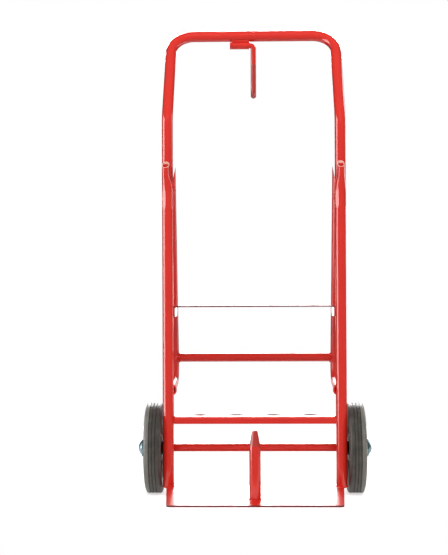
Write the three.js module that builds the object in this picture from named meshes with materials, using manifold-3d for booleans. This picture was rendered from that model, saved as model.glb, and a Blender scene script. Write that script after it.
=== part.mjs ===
// A breaker trolley: a welded and painted tube frame on two rubber-tyred wheels. A heavy road breaker
// stands over the spigot on the toe plate, leans back on the handle and is held by a swinging hook.
// Its chisels stand in the round holes of the two cross plates.
//
// Millimetres. X runs to the right, Y to the rear and Z up. The uprights' axes lie in the plane Y = 0
// while the pieces are made, and the finished trolley is moved so that Y = 0 is the middle of its length.

import * as THREE from "three";
import { mergeVertices } from "three/addons/utils/BufferGeometryUtils.js";
import Module from "manifold-3d";

// Fits
const GAP = 0.3; // between pieces that touch, which the weld or the seat closes
const RUNNING_CLEARANCE = 0.3; // on the radius, between a turning piece and its shaft
const SIDE_PLAY = 0.4; // along a shaft, between a turning piece and its stop
const CUT_OVERRUN = 5; // how far a cutter passes the piece that it cuts
const MERGE_DISTANCE = 0.001; // vertices nearer than this are one vertex

// Uprights
const UPRIGHT_X = 193;
const UPRIGHT_RADIUS = 12.5;
const UPRIGHT_WALL = 2;
const UPRIGHT_TOP = 749;
const UPRIGHT_TOP_DROP = 15; // from the rear of the slanted open end to its front
const PRESSED_WIDTH = 15.5; // across the top, which is pressed to an oval
const PRESSED_OFFSET = 2.4; // of the oval outwards from the upright's axis
const PRESSED_LENGTH = 73; // of the pressed stretch, up to the top
const PRESSED_EVEN_LENGTH = 17; // of its upper end, where the oval no longer changes

// Handle loop
const HANDLE_OUTSET = 2; // of its legs from the uprights, outwards
const HANDLE_RADIUS = 12.5;
const HANDLE_WALL = 2;
const HANDLE_LAP = 108; // of each leg along its upright
const KINK_RISE = 102; // from the uprights' top to the kink
const KINK_RADIUS = 70;
const HANDLE_RISE = 216; // from the kink to the top bar
const HANDLE_LEAN = (37 * Math.PI) / 180; // of the upper part, back from the vertical
const HANDLE_CORNER_RADIUS = 55;

// Rear bows and their cross tube
const BOW_INSET = 5.5; // from the uprights, inwards
const BOW_RADIUS = 11;
const BOW_WALL = 2;
const BOW_TOP_DROP = 11; // below the uprights' top
const BOW_TOP_SETBACK = 3.2; // in front of the handle's leg
const BOW_CORNER_Z = 252;
const BOW_CORNER_Y = 136.5;
const BOW_BEND_RADIUS = 40;
const BOW_FOOT_DROP = 16; // from the corner to the upright
const CROSS_TUBE_RADIUS = 10;
const CROSS_TUBE_WALL = 2;
const CROSS_TUBE_RISE = 50; // above the bows' corner

// Chisel plates
const SHEET = 3;
const SHEET_BEND_RADIUS = 4;
const CHISEL_HOLE_RADIUS = 17;
const END_HOLE_MARGIN = 54.5; // from the plate's end to the middle of its last hole
const REAR_HOLE_MARGIN = 27.5; // from the upper plate's rear edge to the middle of its holes
const SHELF_TOP = 176;
const SHELF_DEPTH = 88;
const SHELF_LIP = 15.4;
const PLATE_TOP = 424;
const PLATE_TO_BOW = 9.95;
const PLATE_FLANGE = 24;
const PLATE_CORNER_CUT = 10;

// Toe plate and spigot
const TOE_THICKNESS = 4;
const TOE_FRONT_Y = -145;
const TOE_REAR_MARGIN = 1.5; // behind the uprights
const TOE_SIDE_MARGIN = 6; // beyond the uprights' axes, at the rear
const TOE_TAPER = 11; // from the rear to the front, on each side
const TOE_CORNER_RADIUS = 7;
const TOE_SLOPE = Math.tan((7 * Math.PI) / 180); // the plate rises to the rear
const SPIGOT_FROM_EDGE = 45;
const SPIGOT_RADIUS = 12.5;
const SPIGOT_TOP = 157;
const SPIGOT_NOSE = 38;
const SPIGOT_TIP_RADIUS = 6.4;
const SPIGOT_TIP_ROUND = 3.5;

// Wheels, along the axle from the middle of the tyre
const TYRE_RADIUS = 101.6;
const TREAD_HALF_WIDTH = 14.4;
const TYRE_BULGE = 5.1; // of the side beyond the tread's edge
const TYRE_SHOULDER = 15.6; // from the tread down to the widest place
const TYRE_TO_UPRIGHT = 2;
const TREAD_GROOVE_DEPTH = 2;
const TREAD_GROOVE_WIDTH = 2.4;
const TREAD_GROOVES = 3;
const RUBBER_DEPTH = 35.1; // from the tread down to the rim's seat
const RIM_LIP_HEIGHT = 8.5;
const RIM_SEAT_HALF_WIDTH = 12.2;
const RIM_SHEET = 2;
const RIM_DISH_RADIUS = 38;
const RIM_BOSS_RADIUS = 27;
const RIM_BOSS_OFFSET = 15;
const HUB_RADIUS = 16;
const HUB_WALL = 2;
const HUB_HALF_LENGTH = 23.5;
const BUSH_FLANGE = 1.5;
const BUSH_LENGTH = 15;

// Axle and what holds the wheels on it
const AXLE_RADIUS = 9;
const AXLE_Y = 52;
const AXLE_CHAMFER = 1.5;
const AXLE_BEYOND_CLIP = 3.6;
const BRACKET_THICKNESS = 6;
const BRACKET_EYE_RADIUS = 20;
const BRACKET_HALF_HEIGHT = 42;
const WASHER_THICKNESS = 2;
const WASHER_RADIUS = 17;
const CLIP_THICKNESS = 1.2;
const CLIP_TO_CAP = 3; // of the clip's edge from the foot of the cap's dome
const CAP_DOME_RADIUS = 18;
const CAP_FLANGE = 2;
const CAP_RIM = 1.6;
const CAP_HEIGHT = 9.6;
const CAP_SHEET = 1.2;

// Hook
const HOOK_ROD_RADIUS = 6.5;
const HOOK_CLEARANCE = 0.5; // on the radius, in the sleeve
const SLEEVE_WALL = 2;
const SLEEVE_LENGTH = 44;
const HOOK_TOP_BEND = 9;
const HOOK_DROP = 119; // from the sleeve's axis to the rod's axis at the foot of the hook
const HOOK_FOOT_BEND = 18;
const HOOK_PRONG = 76;
const HOOK_WASHER_THICKNESS = 2.5;

// Facets round each kind of piece
const TUBE_SIDES = 16;
const WHEEL_SIDES = 36;
const RIM_SIDES = 24;
const HUB_SIDES = 20;
const HOLE_SIDES = 20;
const BEND_STEPS = 6;
const SLIGHT_BEND_STEPS = 4;

// Sizes and places that follow from the ones above
const PRESS_START = UPRIGHT_TOP - PRESSED_LENGTH;
const PRESS_END = UPRIGHT_TOP - PRESSED_EVEN_LENGTH;
const HANDLE_X = UPRIGHT_X + HANDLE_OUTSET;
const HANDLE_LEG_Y = Math.sqrt((UPRIGHT_RADIUS + HANDLE_RADIUS + GAP) ** 2 - HANDLE_OUTSET ** 2);
const HANDLE_LEG_BOTTOM = UPRIGHT_TOP - HANDLE_LAP;
const KINK_Z = UPRIGHT_TOP + KINK_RISE;
const HANDLE_BAR_Z = KINK_Z + HANDLE_RISE;
const HANDLE_BAR_Y = HANDLE_LEG_Y + HANDLE_RISE * Math.tan(HANDLE_LEAN);
const BOW_X = UPRIGHT_X - BOW_INSET;
const BOW_TOP_Z = UPRIGHT_TOP - BOW_TOP_DROP;
const BOW_TOP_Y = HANDLE_LEG_Y - BOW_TOP_SETBACK;
const BOW_FOOT_Z = BOW_CORNER_Z - BOW_FOOT_DROP;
const CROSS_TUBE_Z = BOW_CORNER_Z + CROSS_TUBE_RISE;
const PLATE_HALF_WIDTH = UPRIGHT_X - UPRIGHT_RADIUS - GAP;
const PLATE_REAR_Y = bowY(PLATE_TOP) - BOW_RADIUS - PLATE_TO_BOW;
const CHISEL_HOLE_Y = PLATE_REAR_Y - REAR_HOLE_MARGIN;
const OUTER_HOLE_X = PLATE_HALF_WIDTH - END_HOLE_MARGIN;
const CHISEL_HOLE_XS = [-OUTER_HOLE_X, -OUTER_HOLE_X / 3, OUTER_HOLE_X / 3, OUTER_HOLE_X];
const TOE_REAR_Y = UPRIGHT_RADIUS + TOE_REAR_MARGIN;
const TOE_REAR_HALF_WIDTH = UPRIGHT_X + TOE_SIDE_MARGIN;
const TOE_FRONT_HALF_WIDTH = TOE_REAR_HALF_WIDTH - TOE_TAPER;
const SPIGOT_Y = TOE_FRONT_Y + SPIGOT_FROM_EDGE;
const TYRE_HALF_WIDTH = TREAD_HALF_WIDTH + TYRE_BULGE;
const TYRE_BULGE_RADIUS = TYRE_RADIUS - TYRE_SHOULDER;
const RIM_SEAT_RADIUS = TYRE_RADIUS - RUBBER_DEPTH;
const RIM_LIP_RADIUS = RIM_SEAT_RADIUS + RIM_LIP_HEIGHT;
const RIM_JOIN_OFFSET = (RIM_SHEET + GAP) / 2; // of each half's middle from the wheel's middle plane
const AXLE_Z = TYRE_RADIUS * Math.cos(Math.PI / WHEEL_SIDES); // the wheels stand on a flat facet
const WHEEL_X = UPRIGHT_X + UPRIGHT_RADIUS + TYRE_TO_UPRIGHT + TYRE_HALF_WIDTH;
const BUSH_END = HUB_HALF_LENGTH + GAP + BUSH_FLANGE;
const INNER_WASHER_X = WHEEL_X - BUSH_END - SIDE_PLAY - WASHER_THICKNESS;
const OUTER_WASHER_X = WHEEL_X + BUSH_END + SIDE_PLAY;
const BRACKET_OUTER_X = INNER_WASHER_X - GAP;
const CAP_X = OUTER_WASHER_X + WASHER_THICKNESS + GAP;
const CAP_RADIUS = CAP_DOME_RADIUS + CAP_FLANGE;
const CLIP_RADIUS = CAP_DOME_RADIUS - CLIP_TO_CAP;
const AXLE_HALF_LENGTH = CAP_X + CLIP_THICKNESS + AXLE_BEYOND_CLIP;
const SLEEVE_BORE_RADIUS = HOOK_ROD_RADIUS + HOOK_CLEARANCE;
const SLEEVE_RADIUS = SLEEVE_BORE_RADIUS + SLEEVE_WALL;
const SLEEVE_RIGHT_X = -HOOK_TOP_BEND;
const SLEEVE_LEFT_X = SLEEVE_RIGHT_X - SLEEVE_LENGTH;
const PIVOT_Y = HANDLE_BAR_Y;
const PIVOT_Z = HANDLE_BAR_Z - HANDLE_RADIUS - SLEEVE_RADIUS - GAP;

function toePlateTop(y) {
  return TOE_THICKNESS + (y - TOE_FRONT_Y) * TOE_SLOPE;
}

function bowY(z) {
  const share = (BOW_TOP_Z - z) / (BOW_TOP_Z - BOW_CORNER_Z);
  return BOW_TOP_Y + share * (BOW_CORNER_Y - BOW_TOP_Y);
}

// Materials
const redPaint = new THREE.MeshStandardMaterial({ color: 0xd92b26, roughness: 0.3, metalness: 0 });
const rubber = new THREE.MeshStandardMaterial({ color: 0x4a4644, roughness: 0.75, metalness: 0 });
const zincPlate = new THREE.MeshStandardMaterial({ color: 0xa9b3b8, roughness: 0.35, metalness: 1 });
const darkSteel = new THREE.MeshStandardMaterial({ color: 0x33332f, roughness: 0.5, metalness: 1 });
const nylon = new THREE.MeshStandardMaterial({ color: 0xe4e1d6, roughness: 0.5, metalness: 0 });

// Joining and cutting of closed solids
const wasm = await Module();
wasm.setup();

function solidFrom(geometry) {
  const bare = geometry.index ? geometry.toNonIndexed() : geometry.clone();
  bare.deleteAttribute("normal");
  bare.deleteAttribute("uv");
  const merged = mergeVertices(bare, MERGE_DISTANCE);
  return new wasm.Manifold(
    new wasm.Mesh({
      numProp: 3,
      vertProperties: merged.attributes.position.array,
      triVerts: new Uint32Array(merged.index.array),
    }),
  );
}

function geometryFrom(solid) {
  const mesh = solid.getMesh();
  const geometry = new THREE.BufferGeometry();
  geometry.setAttribute("position", new THREE.BufferAttribute(mesh.vertProperties, 3));
  geometry.setIndex(new THREE.BufferAttribute(mesh.triVerts, 1));
  const faceted = geometry.toNonIndexed();
  faceted.computeVertexNormals();
  return faceted;
}

function cut(geometry, cutters) {
  const body = solidFrom(geometry);
  return geometryFrom(cutters.reduce((left, cutter) => left.subtract(solidFrom(cutter)), body));
}

// Outlines
function circlePoints(radius, sides) {
  return Array.from({ length: sides }, (_, i) => {
    const angle = (2 * Math.PI * i) / sides;
    return new THREE.Vector2(radius * Math.cos(angle), radius * Math.sin(angle));
  });
}

// A centreline of straight runs. Each inner corner is rounded by an arc of its own radius, and there is
// a station, a point with its direction, only at the ends of the straights and along the arcs.
function bentCentreline(corners, radii, steps) {
  const stations = [];
  corners.forEach((corner, i) => {
    if (i === 0 || i === corners.length - 1) {
      const [from, to] = i === 0 ? [corner, corners[1]] : [corners[i - 1], corner];
      stations.push({ point: corner.clone(), tangent: to.clone().sub(from).normalize() });
      return;
    }
    const before = corner.clone().sub(corners[i - 1]).normalize();
    const after = corners[i + 1].clone().sub(corner).normalize();
    const turn = Math.acos(before.dot(after));
    const inward = after.clone().addScaledVector(before, -Math.cos(turn)).normalize();
    const radius = radii[i - 1];
    const start = corner.clone().addScaledVector(before, -radius * Math.tan(turn / 2));
    const count = steps[i - 1];
    for (let k = 0; k <= count; k++) {
      const angle = (turn * k) / count;
      stations.push({
        point: start
          .clone()
          .addScaledVector(before, radius * Math.sin(angle))
          .addScaledVector(inward, radius * (1 - Math.cos(angle))),
        tangent: before
          .clone()
          .multiplyScalar(Math.cos(angle))
          .addScaledVector(inward, Math.sin(angle)),
      });
    }
  });
  return stations;
}

class StationCurve extends THREE.Curve {
  constructor(stations) {
    super();
    this.stations = stations;
  }
  stationAt(u) {
    return this.stations[Math.round(u * (this.stations.length - 1))];
  }
  getPointAt(u, target = new THREE.Vector3()) {
    return target.copy(this.stationAt(u).point);
  }
  getTangentAt(u, target = new THREE.Vector3()) {
    return target.copy(this.stationAt(u).tangent);
  }
}

// A round tube, or a round bar when it has no bore, along stations
function tubeAlong(stations, radius, boreRadius, sides = TUBE_SIDES) {
  const section = new THREE.Shape(circlePoints(radius, sides));
  if (boreRadius > 0) section.holes.push(new THREE.Path(circlePoints(boreRadius, sides)));
  return new THREE.ExtrudeGeometry(section, {
    steps: stations.length - 1,
    bevelEnabled: false,
    extrudePath: new StationCurve(stations),
  });
}

function straightTube(from, to, radius, boreRadius, sides) {
  return tubeAlong(bentCentreline([from, to], [], []), radius, boreRadius, sides);
}

// The closed outline of a sheet of one thickness that follows a flat centreline
function sheetOutline(corners, bendRadius, thickness) {
  const radii = corners.slice(2).map(() => bendRadius);
  const steps = radii.map(() => SLIGHT_BEND_STEPS);
  const stations = bentCentreline(corners, radii, steps);
  const sideOf = (sign) =>
    stations.map(({ point, tangent }) => {
      const across = new THREE.Vector2(-tangent.y, tangent.x);
      return point.clone().addScaledVector(across, (sign * thickness) / 2);
    });
  return [...sideOf(1), ...sideOf(-1).reverse()];
}

// Extrudes an outline drawn in Y and Z along X, between two values of X
function extrudeAlongX(outline, fromX, toX) {
  const geometry = new THREE.ExtrudeGeometry(new THREE.Shape(outline), {
    depth: toX - fromX,
    bevelEnabled: false,
  });
  const xAxis = new THREE.Vector3(1, 0, 0);
  const yAxis = new THREE.Vector3(0, 1, 0);
  const zAxis = new THREE.Vector3(0, 0, 1);
  geometry.applyMatrix4(new THREE.Matrix4().makeBasis(yAxis, zAxis, xAxis));
  return geometry.translate(fromX, 0, 0);
}

// Extrudes an outline drawn in X and Z along Y, between two values of Y
function extrudeAlongY(outline, fromY, toY) {
  const geometry = new THREE.ExtrudeGeometry(new THREE.Shape(outline), {
    depth: toY - fromY,
    bevelEnabled: false,
  });
  return geometry.rotateX(Math.PI / 2).translate(0, toY, 0);
}

function verticalCylinder(x, y, fromZ, toZ, radius, sides = HOLE_SIDES) {
  const geometry = new THREE.CylinderGeometry(radius, radius, toZ - fromZ, sides);
  return geometry.rotateX(Math.PI / 2).translate(x, y, (fromZ + toZ) / 2);
}

// Turns a closed profile of [distance along X, radius] points about the X axis, with the middle of a
// flat facet straight below the axis
function turnedAboutX(profile, sides) {
  const points = profile.map(([along, radius]) => new THREE.Vector2(radius, along));
  if (THREE.ShapeUtils.area(points) < 0) points.reverse();
  const lathe = new THREE.LatheGeometry([...points, points[0].clone()], sides);
  return lathe.rotateY(Math.PI / sides).rotateZ(-Math.PI / 2);
}

function moveVertices(geometry, move) {
  const position = geometry.attributes.position;
  const vertex = new THREE.Vector3();
  for (let i = 0; i < position.count; i++) {
    vertex.fromBufferAttribute(position, i);
    move(vertex);
    position.setXYZ(i, vertex.x, vertex.y, vertex.z);
  }
  geometry.computeVertexNormals();
  return geometry;
}

function vector(x, y, z) {
  return new THREE.Vector3(x, y, z);
}

function addPiece(group, name, geometry, material) {
  const mesh = new THREE.Mesh(geometry, material);
  mesh.name = name;
  group.add(mesh);
  return mesh;
}

// Upright: a tube that stands on the toe plate. Its top is pressed to an oval, deeper than wide, whose
// back stays against the handle's leg, and the open end is cut on a slant.
function uprightGeometry(side) {
  const pressSteps = Array.from(
    { length: SLIGHT_BEND_STEPS + 1 },
    (_, i) => PRESS_START + ((PRESS_END - PRESS_START) * i) / SLIGHT_BEND_STEPS,
  );
  const bottom = toePlateTop(0) + GAP;
  const stations = [bottom, ...pressSteps, UPRIGHT_TOP].map((z) => ({
    point: vector(side * UPRIGHT_X, 0, z),
    tangent: vector(0, 0, 1),
  }));
  const tube = tubeAlong(stations, UPRIGHT_RADIUS, UPRIGHT_RADIUS - UPRIGHT_WALL);
  const halfWidth = PRESSED_WIDTH / 2;
  const halfStraight = (Math.PI * (UPRIGHT_RADIUS - halfWidth)) / 2;
  const halfDepth = halfWidth + halfStraight;
  const ovalX = side * (UPRIGHT_X + PRESSED_OFFSET);
  const ovalY = UPRIGHT_RADIUS - GAP - halfDepth;
  return moveVertices(tube, (vertex) => {
    if (vertex.z < PRESS_START) {
      vertex.z = toePlateTop(vertex.y) + GAP;
      return;
    }
    const atTop = vertex.z > PRESS_END;
    const share = THREE.MathUtils.smoothstep(vertex.z, PRESS_START, PRESS_END);
    const across = vertex.x - side * UPRIGHT_X;
    const radius = Math.hypot(across, vertex.y);
    const ovalRadius = radius - UPRIGHT_RADIUS + halfWidth;
    const sine = vertex.y / radius;
    const onSide = Math.abs(vertex.y) < MERGE_DISTANCE;
    const straight = onSide ? 0 : Math.sign(sine) * halfStraight;
    const pressedX = ovalX + (across / radius) * ovalRadius;
    const pressedY = ovalY + sine * ovalRadius + straight;
    vertex.x = THREE.MathUtils.lerp(vertex.x, pressedX, share);
    vertex.y = THREE.MathUtils.lerp(vertex.y, pressedY, share);
    if (atTop) vertex.z -= (UPRIGHT_TOP_DROP * (ovalY + halfDepth - vertex.y)) / (2 * halfDepth);
  });
}

// Handle loop: one bent tube, from behind one upright, over the top and down behind the other
function handleGeometry() {
  const legBottom = (side) => vector(side * HANDLE_X, HANDLE_LEG_Y, HANDLE_LEG_BOTTOM);
  const kink = (side) => vector(side * HANDLE_X, HANDLE_LEG_Y, KINK_Z);
  const corner = (side) => vector(side * HANDLE_X, HANDLE_BAR_Y, HANDLE_BAR_Z);
  const corners = [legBottom(-1), kink(-1), corner(-1), corner(1), kink(1), legBottom(1)];
  const radii = [KINK_RADIUS, HANDLE_CORNER_RADIUS, HANDLE_CORNER_RADIUS, KINK_RADIUS];
  const steps = [SLIGHT_BEND_STEPS, BEND_STEPS, BEND_STEPS, SLIGHT_BEND_STEPS];
  const stations = bentCentreline(corners, radii, steps);
  return tubeAlong(stations, HANDLE_RADIUS, HANDLE_RADIUS - HANDLE_WALL);
}

// Rear bow: a bent tube from behind the joint of handle and upright, down and back, and then forward
// to the upright. Both ends are shaped to the tubes that they are welded to.
function bowGeometry(side) {
  const corners = [
    vector(side * BOW_X, BOW_TOP_Y, BOW_TOP_Z),
    vector(side * BOW_X, BOW_CORNER_Y, BOW_CORNER_Z),
    vector(side * BOW_X, 0, BOW_FOOT_Z),
  ];
  const stations = bentCentreline(corners, [BOW_BEND_RADIUS], [BEND_STEPS]);
  const tube = tubeAlong(stations, BOW_RADIUS, BOW_RADIUS - BOW_WALL);
  const upright = verticalCylinder(
    side * UPRIGHT_X, 0, 0, UPRIGHT_TOP, UPRIGHT_RADIUS + GAP,
  );
  const handleLeg = verticalCylinder(
    side * HANDLE_X, HANDLE_LEG_Y, HANDLE_LEG_BOTTOM - CUT_OVERRUN, UPRIGHT_TOP + CUT_OVERRUN,
    HANDLE_RADIUS + GAP,
  );
  return cut(tube, [upright, handleLeg]);
}

// Rear cross tube: its ends are shaped to the bows
function crossTubeGeometry() {
  const y = bowY(CROSS_TUBE_Z);
  const tube = straightTube(
    vector(-BOW_X, y, CROSS_TUBE_Z), vector(BOW_X, y, CROSS_TUBE_Z),
    CROSS_TUBE_RADIUS, CROSS_TUBE_RADIUS - CROSS_TUBE_WALL,
  );
  const reach = 4 * BOW_RADIUS;
  const bows = [-1, 1].map((side) =>
    straightTube(
      vector(side * BOW_X, bowY(CROSS_TUBE_Z - reach), CROSS_TUBE_Z - reach),
      vector(side * BOW_X, bowY(CROSS_TUBE_Z + reach), CROSS_TUBE_Z + reach),
      BOW_RADIUS + GAP, 0, HOLE_SIDES,
    ),
  );
  const beyond = [-1, 1].map((side) =>
    new THREE.BoxGeometry(2 * BOW_RADIUS, reach, reach).translate(
      side * (BOW_X + BOW_RADIUS), y, CROSS_TUBE_Z,
    ),
  );
  return cut(tube, [...bows, ...beyond]);
}

function chiselHoles(top) {
  return CHISEL_HOLE_XS.map((x) =>
    verticalCylinder(
      x, CHISEL_HOLE_Y, top - SHEET - CUT_OVERRUN, top + CUT_OVERRUN, CHISEL_HOLE_RADIUS,
    ),
  );
}

// Lower chisel shelf: sheet with its front and rear edges folded down, and four holes
function shelfGeometry() {
  const middle = SHELF_TOP - SHEET / 2;
  const outline = sheetOutline(
    [
      new THREE.Vector2(0, SHELF_TOP - SHELF_LIP),
      new THREE.Vector2(0, middle),
      new THREE.Vector2(SHELF_DEPTH, middle),
      new THREE.Vector2(SHELF_DEPTH, SHELF_TOP - SHELF_LIP),
    ],
    SHEET_BEND_RADIUS, SHEET,
  );
  const sheet = extrudeAlongX(outline, -PLATE_HALF_WIDTH, PLATE_HALF_WIDTH);
  return cut(sheet, chiselHoles(SHELF_TOP));
}

// Upper chisel plate: flat sheet whose ends are folded down against the uprights, with the rear lower
// corner of each end cut off
function upperPlateGeometry() {
  const side = PLATE_HALF_WIDTH - SHEET / 2;
  const middle = PLATE_TOP - SHEET / 2;
  const foot = PLATE_TOP - PLATE_FLANGE;
  const outline = sheetOutline(
    [
      new THREE.Vector2(-side, foot),
      new THREE.Vector2(-side, middle),
      new THREE.Vector2(side, middle),
      new THREE.Vector2(side, foot),
    ],
    SHEET_BEND_RADIUS, SHEET,
  );
  const rear = PLATE_REAR_Y;
  const sheet = extrudeAlongY(outline, -SHEET / 2, rear);
  const corner = extrudeAlongX(
    [
      new THREE.Vector2(rear - PLATE_CORNER_CUT - CUT_OVERRUN, foot - CUT_OVERRUN),
      new THREE.Vector2(rear + CUT_OVERRUN, foot - CUT_OVERRUN),
      new THREE.Vector2(rear + CUT_OVERRUN, foot + PLATE_CORNER_CUT + CUT_OVERRUN),
    ],
    -UPRIGHT_X, UPRIGHT_X,
  );
  return cut(sheet, [...chiselHoles(PLATE_TOP), corner]);
}

// Toe plate: a flat plate with rounded front corners, a little wider at the rear, that slopes down to
// its front edge on the ground
function toePlateGeometry() {
  const r = TOE_CORNER_RADIUS;
  const outline = new THREE.Shape();
  outline.moveTo(TOE_REAR_HALF_WIDTH, TOE_REAR_Y);
  outline.lineTo(-TOE_REAR_HALF_WIDTH, TOE_REAR_Y);
  outline.lineTo(-TOE_FRONT_HALF_WIDTH, TOE_FRONT_Y + r);
  outline.absarc(-TOE_FRONT_HALF_WIDTH + r, TOE_FRONT_Y + r, r, Math.PI, 1.5 * Math.PI, false);
  outline.absarc(TOE_FRONT_HALF_WIDTH - r, TOE_FRONT_Y + r, r, 1.5 * Math.PI, 2 * Math.PI, false);
  const plate = new THREE.ExtrudeGeometry(outline, {
    depth: TOE_THICKNESS,
    bevelEnabled: false,
    curveSegments: SLIGHT_BEND_STEPS,
  });
  return moveVertices(plate, (vertex) => {
    vertex.z += (vertex.y - TOE_FRONT_Y) * TOE_SLOPE;
  });
}

// Spigot: a solid bar with a blunt tapered nose, standing on the toe plate
function spigotGeometry() {
  const foot = toePlateTop(SPIGOT_Y);
  const round = SPIGOT_TIP_ROUND;
  const roundX = SPIGOT_TIP_RADIUS - round;
  const roundZ = SPIGOT_TOP - round;
  const profile = [
    new THREE.Vector2(0, foot),
    new THREE.Vector2(SPIGOT_RADIUS, foot),
    new THREE.Vector2(SPIGOT_RADIUS, SPIGOT_TOP - SPIGOT_NOSE),
    new THREE.Vector2(SPIGOT_TIP_RADIUS, roundZ),
    new THREE.Vector2(roundX + round * Math.SQRT1_2, roundZ + round * Math.SQRT1_2),
    new THREE.Vector2(roundX, SPIGOT_TOP),
    new THREE.Vector2(0, SPIGOT_TOP),
  ];
  const bar = new THREE.LatheGeometry(profile, HOLE_SIDES).rotateX(Math.PI / 2);
  bar.translate(0, SPIGOT_Y, 0);
  return moveVertices(bar, (vertex) => {
    if (vertex.z < foot + MERGE_DISTANCE) vertex.z = toePlateTop(vertex.y) + GAP;
  });
}

// Axle bracket: a flat plate behind the upright, whose rounded end holds the axle
function bracketGeometry(side) {
  const eyeSteps = Array.from({ length: BEND_STEPS + 1 }, (_, i) => {
    const angle = Math.PI * (i / BEND_STEPS - 1 / 2);
    return new THREE.Vector2(
      AXLE_Y + BRACKET_EYE_RADIUS * Math.cos(angle),
      AXLE_Z + BRACKET_EYE_RADIUS * Math.sin(angle),
    );
  });
  const outline = [
    new THREE.Vector2(0, AXLE_Z - BRACKET_HALF_HEIGHT),
    new THREE.Vector2(UPRIGHT_RADIUS, AXLE_Z - BRACKET_HALF_HEIGHT),
    ...eyeSteps,
    new THREE.Vector2(UPRIGHT_RADIUS, AXLE_Z + BRACKET_HALF_HEIGHT),
    new THREE.Vector2(0, AXLE_Z + BRACKET_HALF_HEIGHT),
  ];
  const faces = [side * BRACKET_OUTER_X, side * (BRACKET_OUTER_X - BRACKET_THICKNESS)];
  const plate = extrudeAlongX(outline, Math.min(...faces), Math.max(...faces));
  const upright = verticalCylinder(
    side * UPRIGHT_X, 0, 0, AXLE_Z + 2 * BRACKET_HALF_HEIGHT, UPRIGHT_RADIUS + GAP,
  );
  const axleHole = straightTube(
    vector(-WHEEL_X, AXLE_Y, AXLE_Z), vector(WHEEL_X, AXLE_Y, AXLE_Z), AXLE_RADIUS + GAP, 0, HUB_SIDES,
  );
  return cut(plate, [upright, axleHole]);
}

function axleGeometry() {
  const half = AXLE_HALF_LENGTH;
  const edge = AXLE_RADIUS - AXLE_CHAMFER;
  const profile = [
    new THREE.Vector2(0, -half),
    new THREE.Vector2(edge, -half),
    new THREE.Vector2(AXLE_RADIUS, AXLE_CHAMFER - half),
    new THREE.Vector2(AXLE_RADIUS, half - AXLE_CHAMFER),
    new THREE.Vector2(edge, half),
    new THREE.Vector2(0, half),
  ];
  const bar = new THREE.LatheGeometry(profile, HUB_SIDES).rotateZ(-Math.PI / 2);
  return bar.translate(0, AXLE_Y, AXLE_Z);
}

// Tyre: solid rubber with a grooved tread, rounded sides and a narrow foot between the rim's lips
function tyreGeometry() {
  const seat = RIM_SEAT_RADIUS + RIM_SHEET / 2 + GAP;
  const footHalfWidth = RIM_SEAT_HALF_WIDTH - RIM_SHEET / 2 - GAP;
  const lipTop = RIM_LIP_RADIUS + GAP;
  const pitch = (2 * TREAD_HALF_WIDTH) / (TREAD_GROOVES + 1);
  const halfGroove = TREAD_GROOVE_WIDTH / 2;
  const grooves = Array.from({ length: TREAD_GROOVES }, (_, i) => {
    const middle = (i + 1) * pitch - TREAD_HALF_WIDTH;
    const floor = TYRE_RADIUS - TREAD_GROOVE_DEPTH;
    return [
      [middle - halfGroove, TYRE_RADIUS],
      [middle - halfGroove / 2, floor],
      [middle + halfGroove / 2, floor],
      [middle + halfGroove, TYRE_RADIUS],
    ];
  }).flat();
  const bulge = TYRE_HALF_WIDTH - TREAD_HALF_WIDTH;
  const shoulder = TYRE_RADIUS - TYRE_BULGE_RADIUS;
  const sideShares = [[0.55, 0.85], [0.92, 0.4], [1, 0]];
  const sideWall = sideShares.map(([out, up]) => [
    TREAD_HALF_WIDTH + out * bulge,
    TYRE_BULGE_RADIUS + up * shoulder,
  ]);
  const lowerShares = [[0.7, 0.4]];
  const flank = TYRE_HALF_WIDTH - footHalfWidth;
  const lowerWall = lowerShares.map(([out, up]) => [
    footHalfWidth + out * flank,
    lipTop + up * (TYRE_BULGE_RADIUS - lipTop),
  ]);
  const rightSide = [
    [TREAD_HALF_WIDTH, TYRE_RADIUS],
    ...sideWall,
    ...lowerWall,
    [footHalfWidth, lipTop],
    [footHalfWidth, seat],
  ];
  const leftSide = rightSide.map(([along, radius]) => [-along, radius]).reverse();
  return turnedAboutX([...leftSide, ...grooves, ...rightSide], WHEEL_SIDES);
}

// Rim half: a pressed disc. From the hub it dishes in to the wheel's middle plane, where the halves
// meet, then turns out to seat the tyre and up again as its lip.
function rimHalfGeometry(facing) {
  const centreline = [
    [HUB_RADIUS + GAP, RIM_BOSS_OFFSET],
    [RIM_BOSS_RADIUS, RIM_BOSS_OFFSET],
    [RIM_DISH_RADIUS, RIM_JOIN_OFFSET],
    [RIM_SEAT_RADIUS, RIM_JOIN_OFFSET],
    [RIM_SEAT_RADIUS, RIM_SEAT_HALF_WIDTH],
    [RIM_LIP_RADIUS, RIM_SEAT_HALF_WIDTH],
  ];
  const directions = centreline.slice(1).map(([radius, along], i) => {
    const run = new THREE.Vector2(radius - centreline[i][0], along - centreline[i][1]);
    return run.normalize();
  });
  const offset = (sign) =>
    centreline.map(([radius, along], i) => {
      const before = directions[Math.max(i - 1, 0)];
      const after = directions[Math.min(i, directions.length - 1)];
      const bisector = before.clone().add(after).normalize();
      const reach = (sign * RIM_SHEET) / (2 * bisector.dot(after));
      return [facing * (along + bisector.x * reach), radius - bisector.y * reach];
    });
  return turnedAboutX([...offset(1), ...offset(-1).reverse()], RIM_SIDES);
}

function hubGeometry() {
  const bore = HUB_RADIUS - HUB_WALL;
  const profile = [
    [-HUB_HALF_LENGTH, bore],
    [HUB_HALF_LENGTH, bore],
    [HUB_HALF_LENGTH, HUB_RADIUS],
    [-HUB_HALF_LENGTH, HUB_RADIUS],
  ];
  return turnedAboutX(profile, HUB_SIDES);
}

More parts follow.
